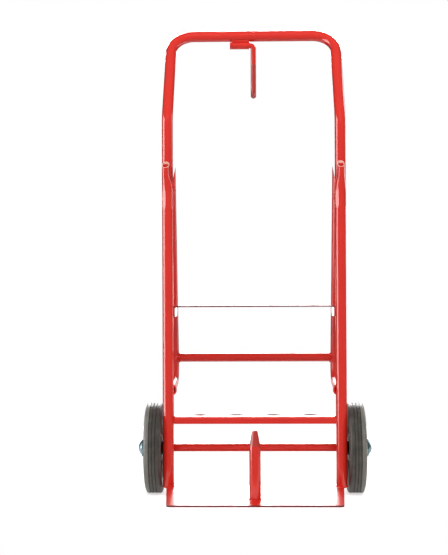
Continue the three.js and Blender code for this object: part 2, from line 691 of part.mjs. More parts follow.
// Bush: a flanged sleeve in one end of the hub, which turns on the axle
function bushGeometry(facing) {
  const bore = AXLE_RADIUS + RUNNING_CLEARANCE;
  const outer = HUB_RADIUS - HUB_WALL - GAP;
  const flangeFace = HUB_HALF_LENGTH + GAP;
  const profile = [
    [HUB_HALF_LENGTH - BUSH_LENGTH, bore],
    [BUSH_END, bore],
    [BUSH_END, HUB_RADIUS],
    [flangeFace, HUB_RADIUS],
    [flangeFace, outer],
    [HUB_HALF_LENGTH - BUSH_LENGTH, outer],
  ];
  const faced = profile.map(([along, radius]) => [facing * along, radius]);
  return turnedAboutX(faced, HUB_SIDES);
}

// A flat ring on the axle between two distances from the trolley's middle
function ringGeometry(side, fromX, thickness, boreRadius, radius) {
  const profile = [
    [side * fromX, boreRadius],
    [side * (fromX + thickness), boreRadius],
    [side * (fromX + thickness), radius],
    [side * fromX, radius],
  ];
  return turnedAboutX(profile, HUB_SIDES).translate(0, AXLE_Y, AXLE_Z);
}

// Axle cap: a domed sheet cap with a flat rim, pushed over the spring clip at the axle's end
function capGeometry(side) {
  const sphere = (CAP_DOME_RADIUS ** 2 + CAP_HEIGHT ** 2) / (2 * CAP_HEIGHT);
  const centreX = CAP_HEIGHT - sphere;
  const domeSide = (radius, base) => {
    const start = Math.acos((base - centreX) / radius);
    return Array.from({ length: SLIGHT_BEND_STEPS + 1 }, (_, i) => {
      const angle = start * (1 - i / SLIGHT_BEND_STEPS);
      return [centreX + radius * Math.cos(angle), radius * Math.sin(angle)];
    });
  };
  const outer = domeSide(sphere, CAP_RIM);
  const inner = domeSide(sphere - CAP_SHEET, 0).reverse();
  const profile = [[0, CAP_RADIUS], [CAP_RIM, CAP_RADIUS], ...outer, ...inner, [0, CAP_RADIUS]];
  const points = profile.map(([along, radius]) => new THREE.Vector2(radius, along));
  const dome = new THREE.LatheGeometry(points, HUB_SIDES).rotateZ((-side * Math.PI) / 2);
  return dome.translate(side * CAP_X, AXLE_Y, AXLE_Z);
}

// Hook sleeve: a short tube welded under the handle's top bar
function sleeveGeometry() {
  return straightTube(
    vector(SLEEVE_LEFT_X, PIVOT_Y, PIVOT_Z), vector(SLEEVE_RIGHT_X, PIVOT_Y, PIVOT_Z),
    SLEEVE_RADIUS, SLEEVE_BORE_RADIUS, HOLE_SIDES,
  );
}

// The middle of a centreline's weight, with each run between stations counted by its length
function middleOfWeight(stations) {
  const sum = new THREE.Vector3();
  let length = 0;
  stations.slice(1).forEach(({ point }, i) => {
    const previous = stations[i].point;
    const run = point.distanceTo(previous);
    sum.addScaledVector(point.clone().add(previous), run / 2);
    length += run;
  });
  return sum.divideScalar(length);
}

// Swing hook: a bent bar that turns in the sleeve. Its leg drops beside the sleeve, turns forward in a
// half circle and rises as a blunt prong. It hangs with its weight straight under the sleeve.
function hookGeometry() {
  const endX = SLEEVE_LEFT_X - SIDE_PLAY - HOOK_WASHER_THICKNESS;
  const prongY = -2 * HOOK_FOOT_BEND;
  const corners = [
    vector(endX, 0, 0),
    vector(0, 0, 0),
    vector(0, 0, -HOOK_DROP),
    vector(0, prongY, -HOOK_DROP),
    vector(0, prongY, HOOK_PRONG - HOOK_DROP),
  ];
  const radii = [HOOK_TOP_BEND, HOOK_FOOT_BEND, HOOK_FOOT_BEND];
  const stations = bentCentreline(corners, radii, radii.map(() => SLIGHT_BEND_STEPS));
  const middle = middleOfWeight(stations);
  const hang = Math.atan2(-middle.y, -middle.z);
  const bar = tubeAlong(dropRepeats(stations), HOOK_ROD_RADIUS, 0);
  return bar.rotateX(hang).translate(0, PIVOT_Y, PIVOT_Z);
}

// Two arcs that meet share a station, which is kept once
function dropRepeats(stations) {
  return stations.filter(
    ({ point }, i) => i === 0 || point.distanceTo(stations[i - 1].point) > MERGE_DISTANCE,
  );
}

// Hook washer: closes the sleeve's far end and keeps the bar in it
function hookWasherGeometry() {
  const x = SLEEVE_LEFT_X - SIDE_PLAY;
  return straightTube(
    vector(x - HOOK_WASHER_THICKNESS, PIVOT_Y, PIVOT_Z), vector(x, PIVOT_Y, PIVOT_Z),
    SLEEVE_RADIUS, HOOK_ROD_RADIUS + GAP, HOLE_SIDES,
  );
}

// The trolley
const SIDES = [["left", -1], ["right", 1]];

function frameGroup() {
  const frame = new THREE.Group();
  addPiece(frame, "handle_loop", handleGeometry(), redPaint);
  for (const [word, side] of SIDES) {
    addPiece(frame, "upright_" + word, uprightGeometry(side), redPaint);
    addPiece(frame, "rear_bow_" + word, bowGeometry(side), redPaint);
    addPiece(frame, "axle_bracket_" + word, bracketGeometry(side), redPaint);
  }
  addPiece(frame, "rear_cross_tube", crossTubeGeometry(), redPaint);
  addPiece(frame, "upper_chisel_plate", upperPlateGeometry(), redPaint);
  addPiece(frame, "lower_chisel_shelf", shelfGeometry(), redPaint);
  addPiece(frame, "toe_plate", toePlateGeometry(), redPaint);
  addPiece(frame, "spigot", spigotGeometry(), redPaint);
  addPiece(frame, "hook_sleeve", sleeveGeometry(), redPaint);
  addPiece(frame, "axle", axleGeometry(), redPaint);
  return frame;
}

// What stays on the axle's end when the wheel is off, from the bracket outwards
function axleFittings(word, side) {
  const fittings = new THREE.Group();
  const bore = AXLE_RADIUS + RUNNING_CLEARANCE;
  const washer = (fromX) => ringGeometry(side, fromX, WASHER_THICKNESS, bore, WASHER_RADIUS);
  const clip = ringGeometry(side, CAP_X, CLIP_THICKNESS, AXLE_RADIUS + GAP, CLIP_RADIUS);
  addPiece(fittings, "inner_washer_" + word, washer(INNER_WASHER_X), zincPlate);
  addPiece(fittings, "outer_washer_" + word, washer(OUTER_WASHER_X), zincPlate);
  addPiece(fittings, "axle_clip_" + word, clip, darkSteel);
  addPiece(fittings, "axle_cap_" + word, capGeometry(side), zincPlate);
  return fittings;
}

function wheelGroup(word, side) {
  const wheel = new THREE.Group();
  wheel.position.set(side * WHEEL_X, AXLE_Y, AXLE_Z);
  addPiece(wheel, "tyre_" + word, tyreGeometry(), rubber);
  addPiece(wheel, "hub_" + word, hubGeometry(), zincPlate);
  addPiece(wheel, "outer_rim_half_" + word, rimHalfGeometry(side), zincPlate);
  addPiece(wheel, "inner_rim_half_" + word, rimHalfGeometry(-side), zincPlate);
  addPiece(wheel, "outer_bush_" + word, bushGeometry(side), nylon);
  addPiece(wheel, "inner_bush_" + word, bushGeometry(-side), nylon);
  return wheel;
}

function hookGroup() {
  const hook = new THREE.Group();
  addPiece(hook, "swing_hook", hookGeometry(), redPaint);
  addPiece(hook, "hook_washer", hookWasherGeometry(), redPaint);
  return hook;
}

const standing = new THREE.Group();
standing.add(frameGroup(), hookGroup());
for (const [word, side] of SIDES) standing.add(wheelGroup(word, side), axleFittings(word, side));

const trolley = new THREE.Group();
const bounds = new THREE.Box3().setFromObject(standing);
standing.position.y = -(bounds.min.y + bounds.max.y) / 2;
trolley.add(standing);

export default trolley;
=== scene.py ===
# %% [markdown]
# # Breaker trolley
# A heavy road breaker is wheeled about on a trolley like this one. Its chuck goes over the spigot on
# the toe plate, its body leans back on the handle and a swinging hook holds it there. Spare chisels
# stand in the round holes of the two cross plates.
#
# The real frame is steel tube and sheet that is bent, pressed, welded and powder coated. Here it is
# built in the same order: tubes first, then sheets, wheels and hook, and the weld beads last. The
# CAD model is loaded as a fixed frame, and each piece below takes the place of one of its nodes.

import math
import random

import bmesh
import bpy
from mathutils import Euler, Matrix, Vector


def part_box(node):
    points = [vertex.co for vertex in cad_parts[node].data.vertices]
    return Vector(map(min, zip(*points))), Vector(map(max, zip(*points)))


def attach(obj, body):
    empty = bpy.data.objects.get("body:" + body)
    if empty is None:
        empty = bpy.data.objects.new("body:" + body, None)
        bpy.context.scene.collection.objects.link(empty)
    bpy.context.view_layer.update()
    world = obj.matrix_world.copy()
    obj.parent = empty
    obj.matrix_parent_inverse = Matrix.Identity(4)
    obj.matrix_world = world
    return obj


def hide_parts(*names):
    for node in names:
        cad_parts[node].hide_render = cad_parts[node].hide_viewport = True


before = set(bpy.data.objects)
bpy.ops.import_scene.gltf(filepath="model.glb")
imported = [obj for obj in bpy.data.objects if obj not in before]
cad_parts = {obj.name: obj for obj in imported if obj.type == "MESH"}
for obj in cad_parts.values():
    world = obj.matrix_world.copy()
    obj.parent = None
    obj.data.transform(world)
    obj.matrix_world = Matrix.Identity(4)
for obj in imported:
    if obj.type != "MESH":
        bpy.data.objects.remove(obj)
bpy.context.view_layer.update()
MM = 0.001


def put_in_scene(name, data):
    obj = bpy.data.objects.new(name, data)
    bpy.context.scene.collection.objects.link(obj)
    return obj


# %% [markdown]
# ## Camera
# The photograph was taken from straight in front, at a little under half the trolley's height and
# from nearly three metres away. The camera comes first, because everything later is judged through
# it. The focal length is written in pixels of the 555 pixel high picture, as it was measured there.

# %% Camera
PHOTO_HEIGHT_PX = 555
FOCAL_LENGTH_PX = 1208
SENSOR = 36.0
CAMERA_PLACE = Vector((1.9, -2732.5, 448.7)) * MM
CAMERA_YAW = 0.0257
CAMERA_PITCH = 0.01422
CAMERA_ROLL = -0.0040

camera_data = bpy.data.cameras.new("camera")
camera_data.sensor_fit = "AUTO"
camera_data.sensor_width = SENSOR
camera_data.lens = FOCAL_LENGTH_PX / PHOTO_HEIGHT_PX * SENSOR
camera = put_in_scene("camera", camera_data)
aim = Euler((math.pi / 2 + CAMERA_PITCH, 0, CAMERA_YAW)).to_matrix()
aim = aim @ Matrix.Rotation(CAMERA_ROLL, 3, "Z")
camera.matrix_world = Matrix.Translation(CAMERA_PLACE) @ aim.to_4x4()
bpy.context.scene.camera = camera
print("lens", round(camera_data.lens, 2), "mm")

# %% [markdown]
# ## Sizes
# All sizes are in millimetres, as on a drawing. X runs to the right, Y to the rear and Z up. The
# uprights' axes lie at Y = 0 while a piece is drawn. The loaded model is moved along Y so that the
# middle of its length is at 0, and the axle shows by how much.

# %% Sizes of the tubes
UPRIGHT_X = 193
UPRIGHT_RADIUS = 12.5
UPRIGHT_TOP = 749
HANDLE_X = 195
HANDLE_RADIUS = 12.5
HANDLE_LEG_Y = 25.221
HANDLE_LEG_BOTTOM = 641
KINK_Z = 851
KINK_RADIUS = 70
HANDLE_BAR_Y = 187.988
HANDLE_CORNER_RADIUS = 55
BOW_X = 187.5
BOW_RADIUS = 11
BOW_TOP = Vector((0, 22.021, 738))
BOW_CORNER = Vector((0, 136.5, 252))
BOW_FOOT_Z = 236
BOW_FOOT_RISE = 0.117
BOW_BEND_RADIUS = 40
CROSS_TUBE_RADIUS = 10
CROSS_TUBE_Z = 302
WALL = 2

# %% Where the drawn pieces sit in the loaded model
AXLE_Y = 52
box_low, box_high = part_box("axle")
SHIFT = (box_low.y + box_high.y) / 2 / MM - AXLE_Y
AXLE_Z = (box_low.z + box_high.z) / 2 / MM
_, handle_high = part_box("handle_loop")
HANDLE_BAR_Z = handle_high.z / MM - HANDLE_RADIUS
print("shift along Y", round(SHIFT, 3), "axle height", round(AXLE_Z, 3))
print("top bar", round(HANDLE_BAR_Z, 3))

# %% [markdown]
# ## Colours and nodes
# Colours are written as the hex values that a colour picker shows, and one function turns them to
# the linear values that a shader needs. Pattern sizes are real millimetres: a noise with a scale of
# 1000 has features about one millimetre wide, because Blender counts in metres.

# %% Helpers for materials
def linear(hex_colour):
    channels = [int(hex_colour[i : i + 2], 16) / 255 for i in (1, 3, 5)]
    return [c / 12.92 if c <= 0.04045 else ((c + 0.055) / 1.055) ** 2.4 for c in channels] + [1.0]


def per_metre(millimetres):
    return 1 / (millimetres * MM)


def add_node(tree, kind, settings=None, inputs=None):
    node = tree.nodes.new(kind)
    for name, value in (settings or {}).items():
        setattr(node, name, value)
    for socket, value in (inputs or {}).items():
        if isinstance(value, bpy.types.NodeSocket):
            tree.links.new(value, node.inputs[socket])
        else:
            node.inputs[socket].default_value = value
    return node


def new_material(name):
    material = bpy.data.materials.new(name)
    material.use_nodes = True
    material.node_tree.nodes.clear()
    return material, material.node_tree


# %% [markdown]
# ## Red powder coat
# The frame is mild steel under a red polyester powder, sprayed on dry and baked until it flows. It
# flows almost flat but keeps a fine orange peel, about a millimetre and a half from hump to hump,
# which breaks the edges of its reflections. It is glossy, so a tube shows a narrow bright line for a
# tall lamp, and it lies a little thinner and darker over sharp edges. On the toe plate and the bows
# use has rubbed the gloss down to a satin. The spigot's nose is drawn in a darker, duller red, and
# the hook's prong too, where that darker red is painted shade. Cut edges and the walls of the holes
# get a dark red that is painted shade, and the open rims of the pressed tops a pale cream that is a
# painted highlight. The coats differ only in colour and gloss, so one function makes them.

# %% Red powder coat
RED_FULL = "#DD3024"
RED_DEEP = "#CE271D"
# A darker red for the spigot's nose and the hook's prong; on the prong it is painted shade.
RED_DARKER = "#BC3A30"
RED_DULL = "#A42C26"
RED_THIN = "#8E1A16"
# Painted shade for the cut edges and the walls of the holes.
RED_PAINTED_SHADE = "#6E1512"
RED_PAINTED_SHADE_DEEP = "#54100E"
# A painted highlight for the open rims of the pressed tops.
HIGHLIGHT_CREAM = "#F3CBBE"
HIGHLIGHT_PINK = "#E39A8C"
PEEL_WIDTH = 1.6
PEEL_HEIGHT = 0.012
PEEL_STRENGTH = 0.6
CLOUD_WIDTH = 70
# Pointiness is 0.5 on a flat face. An edge begins to show at the first value.
EDGE_POINTED = (0.56, 0.68)
THINNEST = 0.55
# Nearly all values of a noise lie between these two.
NOISE_LOW = 0.3
NOISE_HIGH = 0.7


def powder_coat(name, full, deep, gloss_range):
    material, tree = new_material(name)
    place = add_node(tree, "ShaderNodeTexCoord").outputs["Object"]
    cloud = add_node(
        tree, "ShaderNodeTexNoise", None,
        {"Vector": place, "Scale": per_metre(CLOUD_WIDTH), "Detail": 3.0},
    ).outputs["Fac"]
    body_red = add_node(
        tree, "ShaderNodeMix", {"data_type": "RGBA"},
        {0: cloud, 6: linear(full), 7: linear(deep)},
    ).outputs[2]
    pointed = add_node(tree, "ShaderNodeNewGeometry").outputs["Pointiness"]
    edge = add_node(
        tree, "ShaderNodeMapRange", None,
        {
            "Value": pointed, "From Min": EDGE_POINTED[0], "From Max": EDGE_POINTED[1],
            "To Max": THINNEST,
        },
    ).outputs["Result"]
    coat_red = add_node(
        tree, "ShaderNodeMix", {"data_type": "RGBA"},
        {0: edge, 6: body_red, 7: linear(RED_THIN)},
    ).outputs[2]
    peel = add_node(
        tree, "ShaderNodeTexNoise", None,
        {"Vector": place, "Scale": per_metre(PEEL_WIDTH), "Detail": 1.0},
    ).outputs["Fac"]
    peel_bump = add_node(
        tree, "ShaderNodeBump", None,
        {"Height": peel, "Strength": PEEL_STRENGTH, "Distance": PEEL_HEIGHT * MM},
    ).outputs["Normal"]
    gloss = add_node(
        tree, "ShaderNodeMapRange", None,
        {
            "Value": cloud, "From Min": NOISE_LOW, "From Max": NOISE_HIGH,
            "To Min": gloss_range[0], "To Max": gloss_range[1],
        },
    ).outputs["Result"]
    coat = add_node(
        tree, "ShaderNodeBsdfPrincipled", None,
        {"Base Color": coat_red, "Roughness": gloss, "Normal": peel_bump, "IOR": 1.5},
    )
    add_node(tree, "ShaderNodeOutputMaterial", None, {"Surface": coat.outputs["BSDF"]})
    print("made", material.name)
    return material


red_powder_coat = powder_coat("Red powder coat", RED_FULL, RED_DEEP, (0.13, 0.17))
rubbed_powder_coat = powder_coat("Rubbed red powder coat", RED_FULL, RED_DEEP, (0.28, 0.34))
darker_red_coat = powder_coat("Darker red coat", RED_DARKER, RED_DULL, (0.3, 0.4))
painted_shade_coat = powder_coat("Red coat with painted shade", RED_PAINTED_SHADE, RED_PAINTED_SHADE_DEEP, (0.4, 0.5))
painted_highlight_rim = powder_coat("Painted highlight rim", HIGHLIGHT_CREAM, HIGHLIGHT_PINK, (0.3, 0.4))

# %% [markdown]
# ## Moulded rubber
# The tyres are solid black rubber from a steel mould. New rubber is a warm near-black with a dull
# skin, and handling and ground dust leave it paler in patches. The outer shoulders and side walls
# are drawn a paler grey, as a painted highlight. The skin's grain is finer than a pixel here, so it
# is drawn at 0.9 mm, just coarse enough to take the shine off.

# %% Moulded rubber
RUBBER_BLACK = "#3A3833"
RUBBER_DUSTY = "#5B5950"
# A painted highlight for the tyres' outer shoulders and side walls.
RUBBER_HIGHLIGHT = "#696760"
RUBBER_GREY = "#84817A"
RUBBER_GRAIN = 0.9
GRAIN_HEIGHT = 0.05
RUBBER_PATCH = 18
DUSTY_FROM = 0.42
DUSTIEST = 0.6
RUBBER_DULLNESS = (0.48, 0.62)


def rubber(name, dark, pale):
    material, tree = new_material(name)
    place = add_node(tree, "ShaderNodeTexCoord").outputs["Object"]
    patch = add_node(
        tree, "ShaderNodeTexNoise", None,
        {"Vector": place, "Scale": per_metre(RUBBER_PATCH), "Detail": 5.0, "Roughness": 0.6},
    ).outputs["Fac"]
    dust = add_node(
        tree, "ShaderNodeMapRange", None,
        {"Value": patch, "From Min": DUSTY_FROM, "From Max": 0.75, "To Max": DUSTIEST},
    ).outputs["Result"]
    rubber_colour = add_node(
        tree, "ShaderNodeMix", {"data_type": "RGBA"}, {0: dust, 6: linear(dark), 7: linear(pale)},
    ).outputs[2]
    grain = add_node(
        tree, "ShaderNodeTexNoise", None,
        {"Vector": place, "Scale": per_metre(RUBBER_GRAIN), "Detail": 2.0},
    ).outputs["Fac"]
    grain_bump = add_node(
        tree, "ShaderNodeBump", None,
        {"Height": grain, "Strength": 0.5, "Distance": GRAIN_HEIGHT * MM},
    ).outputs["Normal"]
    dullness = add_node(
        tree, "ShaderNodeMapRange", None,
        {
            "Value": patch, "From Min": NOISE_LOW, "From Max": NOISE_HIGH,
            "To Min": RUBBER_DULLNESS[0], "To Max": RUBBER_DULLNESS[1],
        },
    ).outputs["Result"]
    shader = add_node(
        tree, "ShaderNodeBsdfPrincipled", None,
        {"Base Color": rubber_colour, "Roughness": dullness, "Normal": grain_bump, "IOR": 1.52},
    )
    add_node(tree, "ShaderNodeOutputMaterial", None, {"Surface": shader.outputs["BSDF"]})
    print("made", material.name)
    return material


moulded_rubber = rubber("Moulded rubber", RUBBER_BLACK, RUBBER_DUSTY)
painted_highlight_rubber = rubber("Rubber with painted highlight", RUBBER_HIGHLIGHT, RUBBER_GREY)

# %% [markdown]
# ## Blue zinc plate
# Rims, hubs, washers and caps are pressed or turned steel with electroplated zinc and a blue
# passivate over it. The eye gets a cool bright metal with a soft, slightly cloudy mirror, and fine
# marks that the press and the barrel left. The caps have tarnished darker. The hubs and the inner
# rim discs are drawn a dull brown-grey, which is painted shade.

# %% Blue zinc plate
ZINC_BRIGHT = "#CBD5DA"
ZINC_BLUE = "#A9BAC4"
ZINC_CAP = "#8FA6AC"
ZINC_TARNISHED = "#4E6469"
# Painted shade for the hubs and the inner rim discs.
ZINC_PAINTED_SHADE = "#5C524D"
ZINC_PAINTED_SHADE_DEEP = "#3A302D"
ZINC_CLOUD = 14
BARREL_MARK = 0.7
MARK_DEPTH = 0.015


def zinc_plate(name, bright, dark, gloss_range):
    material, tree = new_material(name)
    place = add_node(tree, "ShaderNodeTexCoord").outputs["Object"]
    clouding = add_node(
        tree, "ShaderNodeTexNoise", None,
        {"Vector": place, "Scale": per_metre(ZINC_CLOUD), "Detail": 4.0},
    ).outputs["Fac"]
    zinc_colour = add_node(
        tree, "ShaderNodeMix", {"data_type": "RGBA"},
        {0: clouding, 6: linear(bright), 7: linear(dark)},
    ).outputs[2]
    marks = add_node(
        tree, "ShaderNodeTexNoise", None,
        {"Vector": place, "Scale": per_metre(BARREL_MARK), "Detail": 2.0},
    ).outputs["Fac"]
    mark_bump = add_node(
        tree, "ShaderNodeBump", None,
        {"Height": marks, "Strength": 0.35, "Distance": MARK_DEPTH * MM},
    ).outputs["Normal"]
    softness = add_node(
        tree, "ShaderNodeMapRange", None,
        {
            "Value": clouding, "From Min": NOISE_LOW, "From Max": NOISE_HIGH,
            "To Min": gloss_range[0], "To Max": gloss_range[1],
        },
    ).outputs["Result"]
    zinc = add_node(
        tree, "ShaderNodeBsdfPrincipled", None,
        {"Base Color": zinc_colour, "Metallic": 1.0, "Roughness": softness, "Normal": mark_bump},
    )
    add_node(tree, "ShaderNodeOutputMaterial", None, {"Surface": zinc.outputs["BSDF"]})
    print("made", material.name)
    return material


blue_zinc_plate = zinc_plate("Blue zinc plate", ZINC_BRIGHT, ZINC_BLUE, (0.22, 0.36))
cap_zinc_plate = zinc_plate("Tarnished zinc plate", ZINC_CAP, ZINC_TARNISHED, (0.22, 0.36))
painted_shade_zinc = zinc_plate("Zinc plate with painted shade", ZINC_PAINTED_SHADE, ZINC_PAINTED_SHADE_DEEP, (0.5, 0.65))

# %% [markdown]
# ## Phosphated spring steel
# The push-on clips under the caps are hardened strip, dipped in phosphate and oil. That leaves a
# grey-black metal with a dim sheen and a fine crystal grain.

# %% Phosphated spring steel
PHOSPHATE_DARK = "#3B3935"
PHOSPHATE_GREY = "#55534E"
CRYSTAL = 0.8
CRYSTAL_HEIGHT = 0.02

phosphated_spring_steel, tree = new_material("Phosphated spring steel")
place = add_node(tree, "ShaderNodeTexCoord").outputs["Object"]
crystals = add_node(
    tree, "ShaderNodeTexVoronoi", None, {"Vector": place, "Scale": per_metre(CRYSTAL)},
).outputs["Distance"]
phosphate_colour = add_node(
    tree, "ShaderNodeMix", {"data_type": "RGBA"},
    {0: crystals, 6: linear(PHOSPHATE_GREY), 7: linear(PHOSPHATE_DARK)},
).outputs[2]
crystal_bump = add_node(
    tree, "ShaderNodeBump", None,
    {"Height": crystals, "Strength": 0.4, "Distance": CRYSTAL_HEIGHT * MM},
).outputs["Normal"]
phosphate = add_node(
    tree, "ShaderNodeBsdfPrincipled", None,
    {"Base Color": phosphate_colour, "Metallic": 1.0, "Roughness": 0.45, "Normal": crystal_bump},
)
add_node(tree, "ShaderNodeOutputMaterial", None, {"Surface": phosphate.outputs["BSDF"]})
print("made", phosphated_spring_steel.name)

# %% [markdown]
# ## Moulded nylon
# The flanged bushes are injection-moulded natural nylon: off-white, a little translucent and waxy,
# with the faint matt texture of a spark-eroded mould.

# %% Moulded nylon
NYLON_WHITE = "#E6E1D3"
NYLON_CREAM = "#D8D1BE"
NYLON_FLOW = 12
MOULD_TEXTURE = 0.6
TEXTURE_HEIGHT = 0.02
NYLON_DEPTH = 1.5

moulded_nylon, tree = new_material("Moulded nylon")
place = add_node(tree, "ShaderNodeTexCoord").outputs["Object"]
flow = add_node(
    tree, "ShaderNodeTexNoise", None,
    {"Vector": place, "Scale": per_metre(NYLON_FLOW), "Detail": 2.0},
).outputs["Fac"]
nylon_colour = add_node(
    tree, "ShaderNodeMix", {"data_type": "RGBA"},
    {0: flow, 6: linear(NYLON_WHITE), 7: linear(NYLON_CREAM)},
).outputs[2]
texture = add_node(
    tree, "ShaderNodeTexNoise", None, {"Vector": place, "Scale": per_metre(MOULD_TEXTURE)},
).outputs["Fac"]
texture_bump = add_node(
    tree, "ShaderNodeBump", None,
    {"Height": texture, "Strength": 0.3, "Distance": TEXTURE_HEIGHT * MM},
).outputs["Normal"]
nylon = add_node(
    tree, "ShaderNodeBsdfPrincipled", None,
    {
        "Base Color": nylon_colour, "Roughness": 0.42, "Normal": texture_bump, "IOR": 1.53,
        "Subsurface Weight": 0.15, "Subsurface Scale": NYLON_DEPTH * MM,
    },
)
add_node(tree, "ShaderNodeOutputMaterial", None, {"Surface": nylon.outputs["BSDF"]})
print("made", moulded_nylon.name)

# %% [markdown]
# ## How tubes, bars and turned pieces are made
# A bent tube is a circle carried along a centreline of straights and arcs, which is just what a tube
# bender does. Each station of the centreline has two cross axes that are carried on without twist,
# so the rings don't spiral. The skin between rings gives the wall: outside, round the cut end,
# back inside and round the other end. Turned pieces are the same rings about a straight axis.

# %% Helpers for centrelines
BEND_STEP = math.radians(4)
MEETING_DISTANCE = 0.01


def bent_path(corners, radii):
    """Points of a centreline whose inner corners are arcs of the given radii."""
    points = [corners[0].copy()]
    for i, radius in enumerate(radii, start=1):
        arriving = (corners[i] - corners[i - 1]).normalized()
        leaving = (corners[i + 1] - corners[i]).normalized()
        turn = arriving.angle(leaving)
        inward = (leaving - arriving * math.cos(turn)).normalized()
        start = corners[i] - arriving * radius * math.tan(turn / 2)
        steps = math.ceil(turn / BEND_STEP)
        for k in range(steps + 1):
            angle = turn * k / steps
            along = arriving * radius * math.sin(angle)
            points.append(start + along + inward * radius * (1 - math.cos(angle)))
    points.append(corners[-1].copy())
    kept = [points[0]]
    kept += [b for a, b in zip(points, points[1:]) if (b - a).length > MEETING_DISTANCE]
    return kept


def divided(points, longest):
    """The same line with no run longer than the given length."""
    result = [points[0]]
    for a, b in zip(points, points[1:]):
        steps = max(1, math.ceil((b - a).length / longest))
        result += [a.lerp(b, k / steps) for k in range(1, steps + 1)]
    return result


def stations_along(points, closed=False):
    """Each point with its direction and two cross axes that don't twist."""
    count = len(points)
    directions = []
    for i in range(count):
        before = points[i - 1] if i > 0 or closed else points[i]
        after = points[(i + 1) % count] if i < count - 1 or closed else points[i]
        directions.append((after - before).normalized())
    start = Vector((1, 0, 0)) if abs(directions[0].x) < 0.7 else Vector((0, 1, 0))
    across = (start - directions[0] * start.dot(directions[0])).normalized()
    stations = []
    for i, direction in enumerate(directions):
        if i > 0:
            across = directions[i - 1].rotation_difference(direction) @ across
        stations.append((points[i], direction, across, direction.cross(across)))
    return stations


# %% Helpers for rings
TUBE_SIDES = 48
TURNED_SIDES = 64
CUT_ROUND = 0.7


def ring(station, radius, along=0.0, sides=TUBE_SIDES):
    point, direction, across, upward = station
    centre = point + direction * along
    angles = [2 * math.pi * k / sides for k in range(sides)]
    return [centre + (across * math.cos(a) + upward * math.sin(a)) * radius for a in angles]


def tube_rings(points, radius, wall, sides=TUBE_SIDES):
    """A tube with rounded cut ends, as rings from its outside round to its bore and back."""
    stations = stations_along(points)
    bore = radius - wall
    nearly = 0.3 * CUT_ROUND
    cut_end = [
        (-CUT_ROUND, radius), (-nearly, radius - nearly), (0, radius - CUT_ROUND),
        (0, bore + CUT_ROUND), (-nearly, bore + nearly), (-CUT_ROUND, bore),
    ]
    outside = [ring(s, radius, sides=sides) for s in stations[1:-1]]
    far_end = [ring(stations[-1], r, along, sides) for along, r in cut_end]
    inside = [ring(s, bore, sides=sides) for s in reversed(stations[1:-1])]
    near_end = [ring(stations[0], r, -along, sides) for along, r in reversed(cut_end)]
    return outside + far_end + inside + near_end


def bar_rings(points, radius, rounding, sides=TUBE_SIDES):
    """A solid bar with rounded ends."""
    stations = stations_along(points)
    steps = [k / 4 * math.pi / 2 for k in range(5)]
    end = [(rounding * (math.sin(a) - 1), radius - rounding * (1 - math.cos(a))) for a in steps]
    end.append((0, 0))
    middle = [ring(s, radius, sides=sides) for s in stations[1:-1]]
    far_end = [ring(stations[-1], r, along, sides) for along, r in end]
    near_end = [ring(stations[0], r, -along, sides) for along, r in reversed(end)]
    return near_end + middle + far_end


def turned_rings(profile, centre, axis, sides=TURNED_SIDES):
    """A profile of (distance along the axis, radius) turned about that axis."""
    across = Vector((0, 1, 0)) if abs(axis.y) < 0.5 else Vector((1, 0, 0))
    station = (centre, axis, across, axis.cross(across))
    return [ring(station, radius, along, sides) for along, radius in profile]


# %% Helpers for meshes and pieces
SHARP_ANGLE = math.radians(38)


def in_place(point):
    return (point + Vector((0, SHIFT, 0))) * MM


def finished_mesh(name, points, faces):
    mesh = bpy.data.meshes.new(name)
    mesh.from_pydata([in_place(p) for p in points], [], faces)
    work = bmesh.new()
    work.from_mesh(mesh)
    bmesh.ops.remove_doubles(work, verts=work.verts, dist=0.002 * MM)
    bmesh.ops.recalc_face_normals(work, faces=work.faces)
    work.to_mesh(mesh)
    work.free()
    mesh.polygons.foreach_set("use_smooth", [True] * len(mesh.polygons))
    mesh.set_sharp_from_angle(angle=SHARP_ANGLE)
    return mesh


def skin(name, strips):
    """One mesh over strips of rings. A strip is (rings, joined), joined when its last ring meets
    its first one again. The other strips are closed with a face at each end."""
    points = []
    faces = []
    for rings, joined in strips:
        start = len(points)
        sides = len(rings[0])
        points += [p for one in rings for p in one]
        for i in range(len(rings) if joined else len(rings) - 1):
            here = start + i * sides
            there = start + (i + 1) % len(rings) * sides
            for k in range(sides):
                m = (k + 1) % sides
                faces.append((here + k, here + m, there + m, there + k))
        if not joined:
            last = start + (len(rings) - 1) * sides
            faces.append(tuple(start + k for k in reversed(range(sides))))
            faces.append(tuple(last + k for k in range(sides)))
    return finished_mesh(name, points, faces)


def prism(name, outline, along):
    """A flat outline pushed along a vector."""
    count = len(outline)
    points = list(outline) + [p + along for p in outline]
    faces = [tuple(range(count)), tuple(range(count, 2 * count))]
    faces += [(k, (k + 1) % count, (k + 1) % count + count, k + count) for k in range(count)]
    return finished_mesh(name, points, faces)


def piece(name, mesh, material, body, nodes=()):
    obj = put_in_scene(name, mesh)
    mesh.materials.clear()
    mesh.materials.append(material)
    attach(obj, body)
    if nodes:
        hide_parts(*nodes)
    sizes = [round(size / MM, 1) for size in obj.dimensions]
    print(name, sizes, "mm,", len(mesh.polygons), "faces")


def frame_piece(name, mesh, *nodes, finish=red_powder_coat):
    """A painted piece of the welded frame."""
    piece(name, mesh, finish, "frame", nodes)


def refinish(mesh, material, chosen):
    """A second finish for the faces that chosen picks by their middle, as drawn, and normal."""
    mesh.materials.append(material)
    for polygon in mesh.polygons:
        middle = polygon.center / MM - Vector((0, SHIFT, 0))
        if chosen(middle, polygon.normal):
            polygon.material_index = 1


def reshaped(rings, moved):
    """The same rings with every point moved."""
    return [[moved(p) for p in one] for one in rings]


# %% [markdown]
# ## Uprights
# Each upright is a 25 mm tube cut to the slope of the toe plate. Its top is squeezed to an oval so
# that it lies neatly against the handle's leg, and the open end is cut on a slant. Just below, the
# jaws of the press have left two shallow flats, which show as pale stripes. The ring of each level
# is drawn round and then pushed into shape, as the press does it.

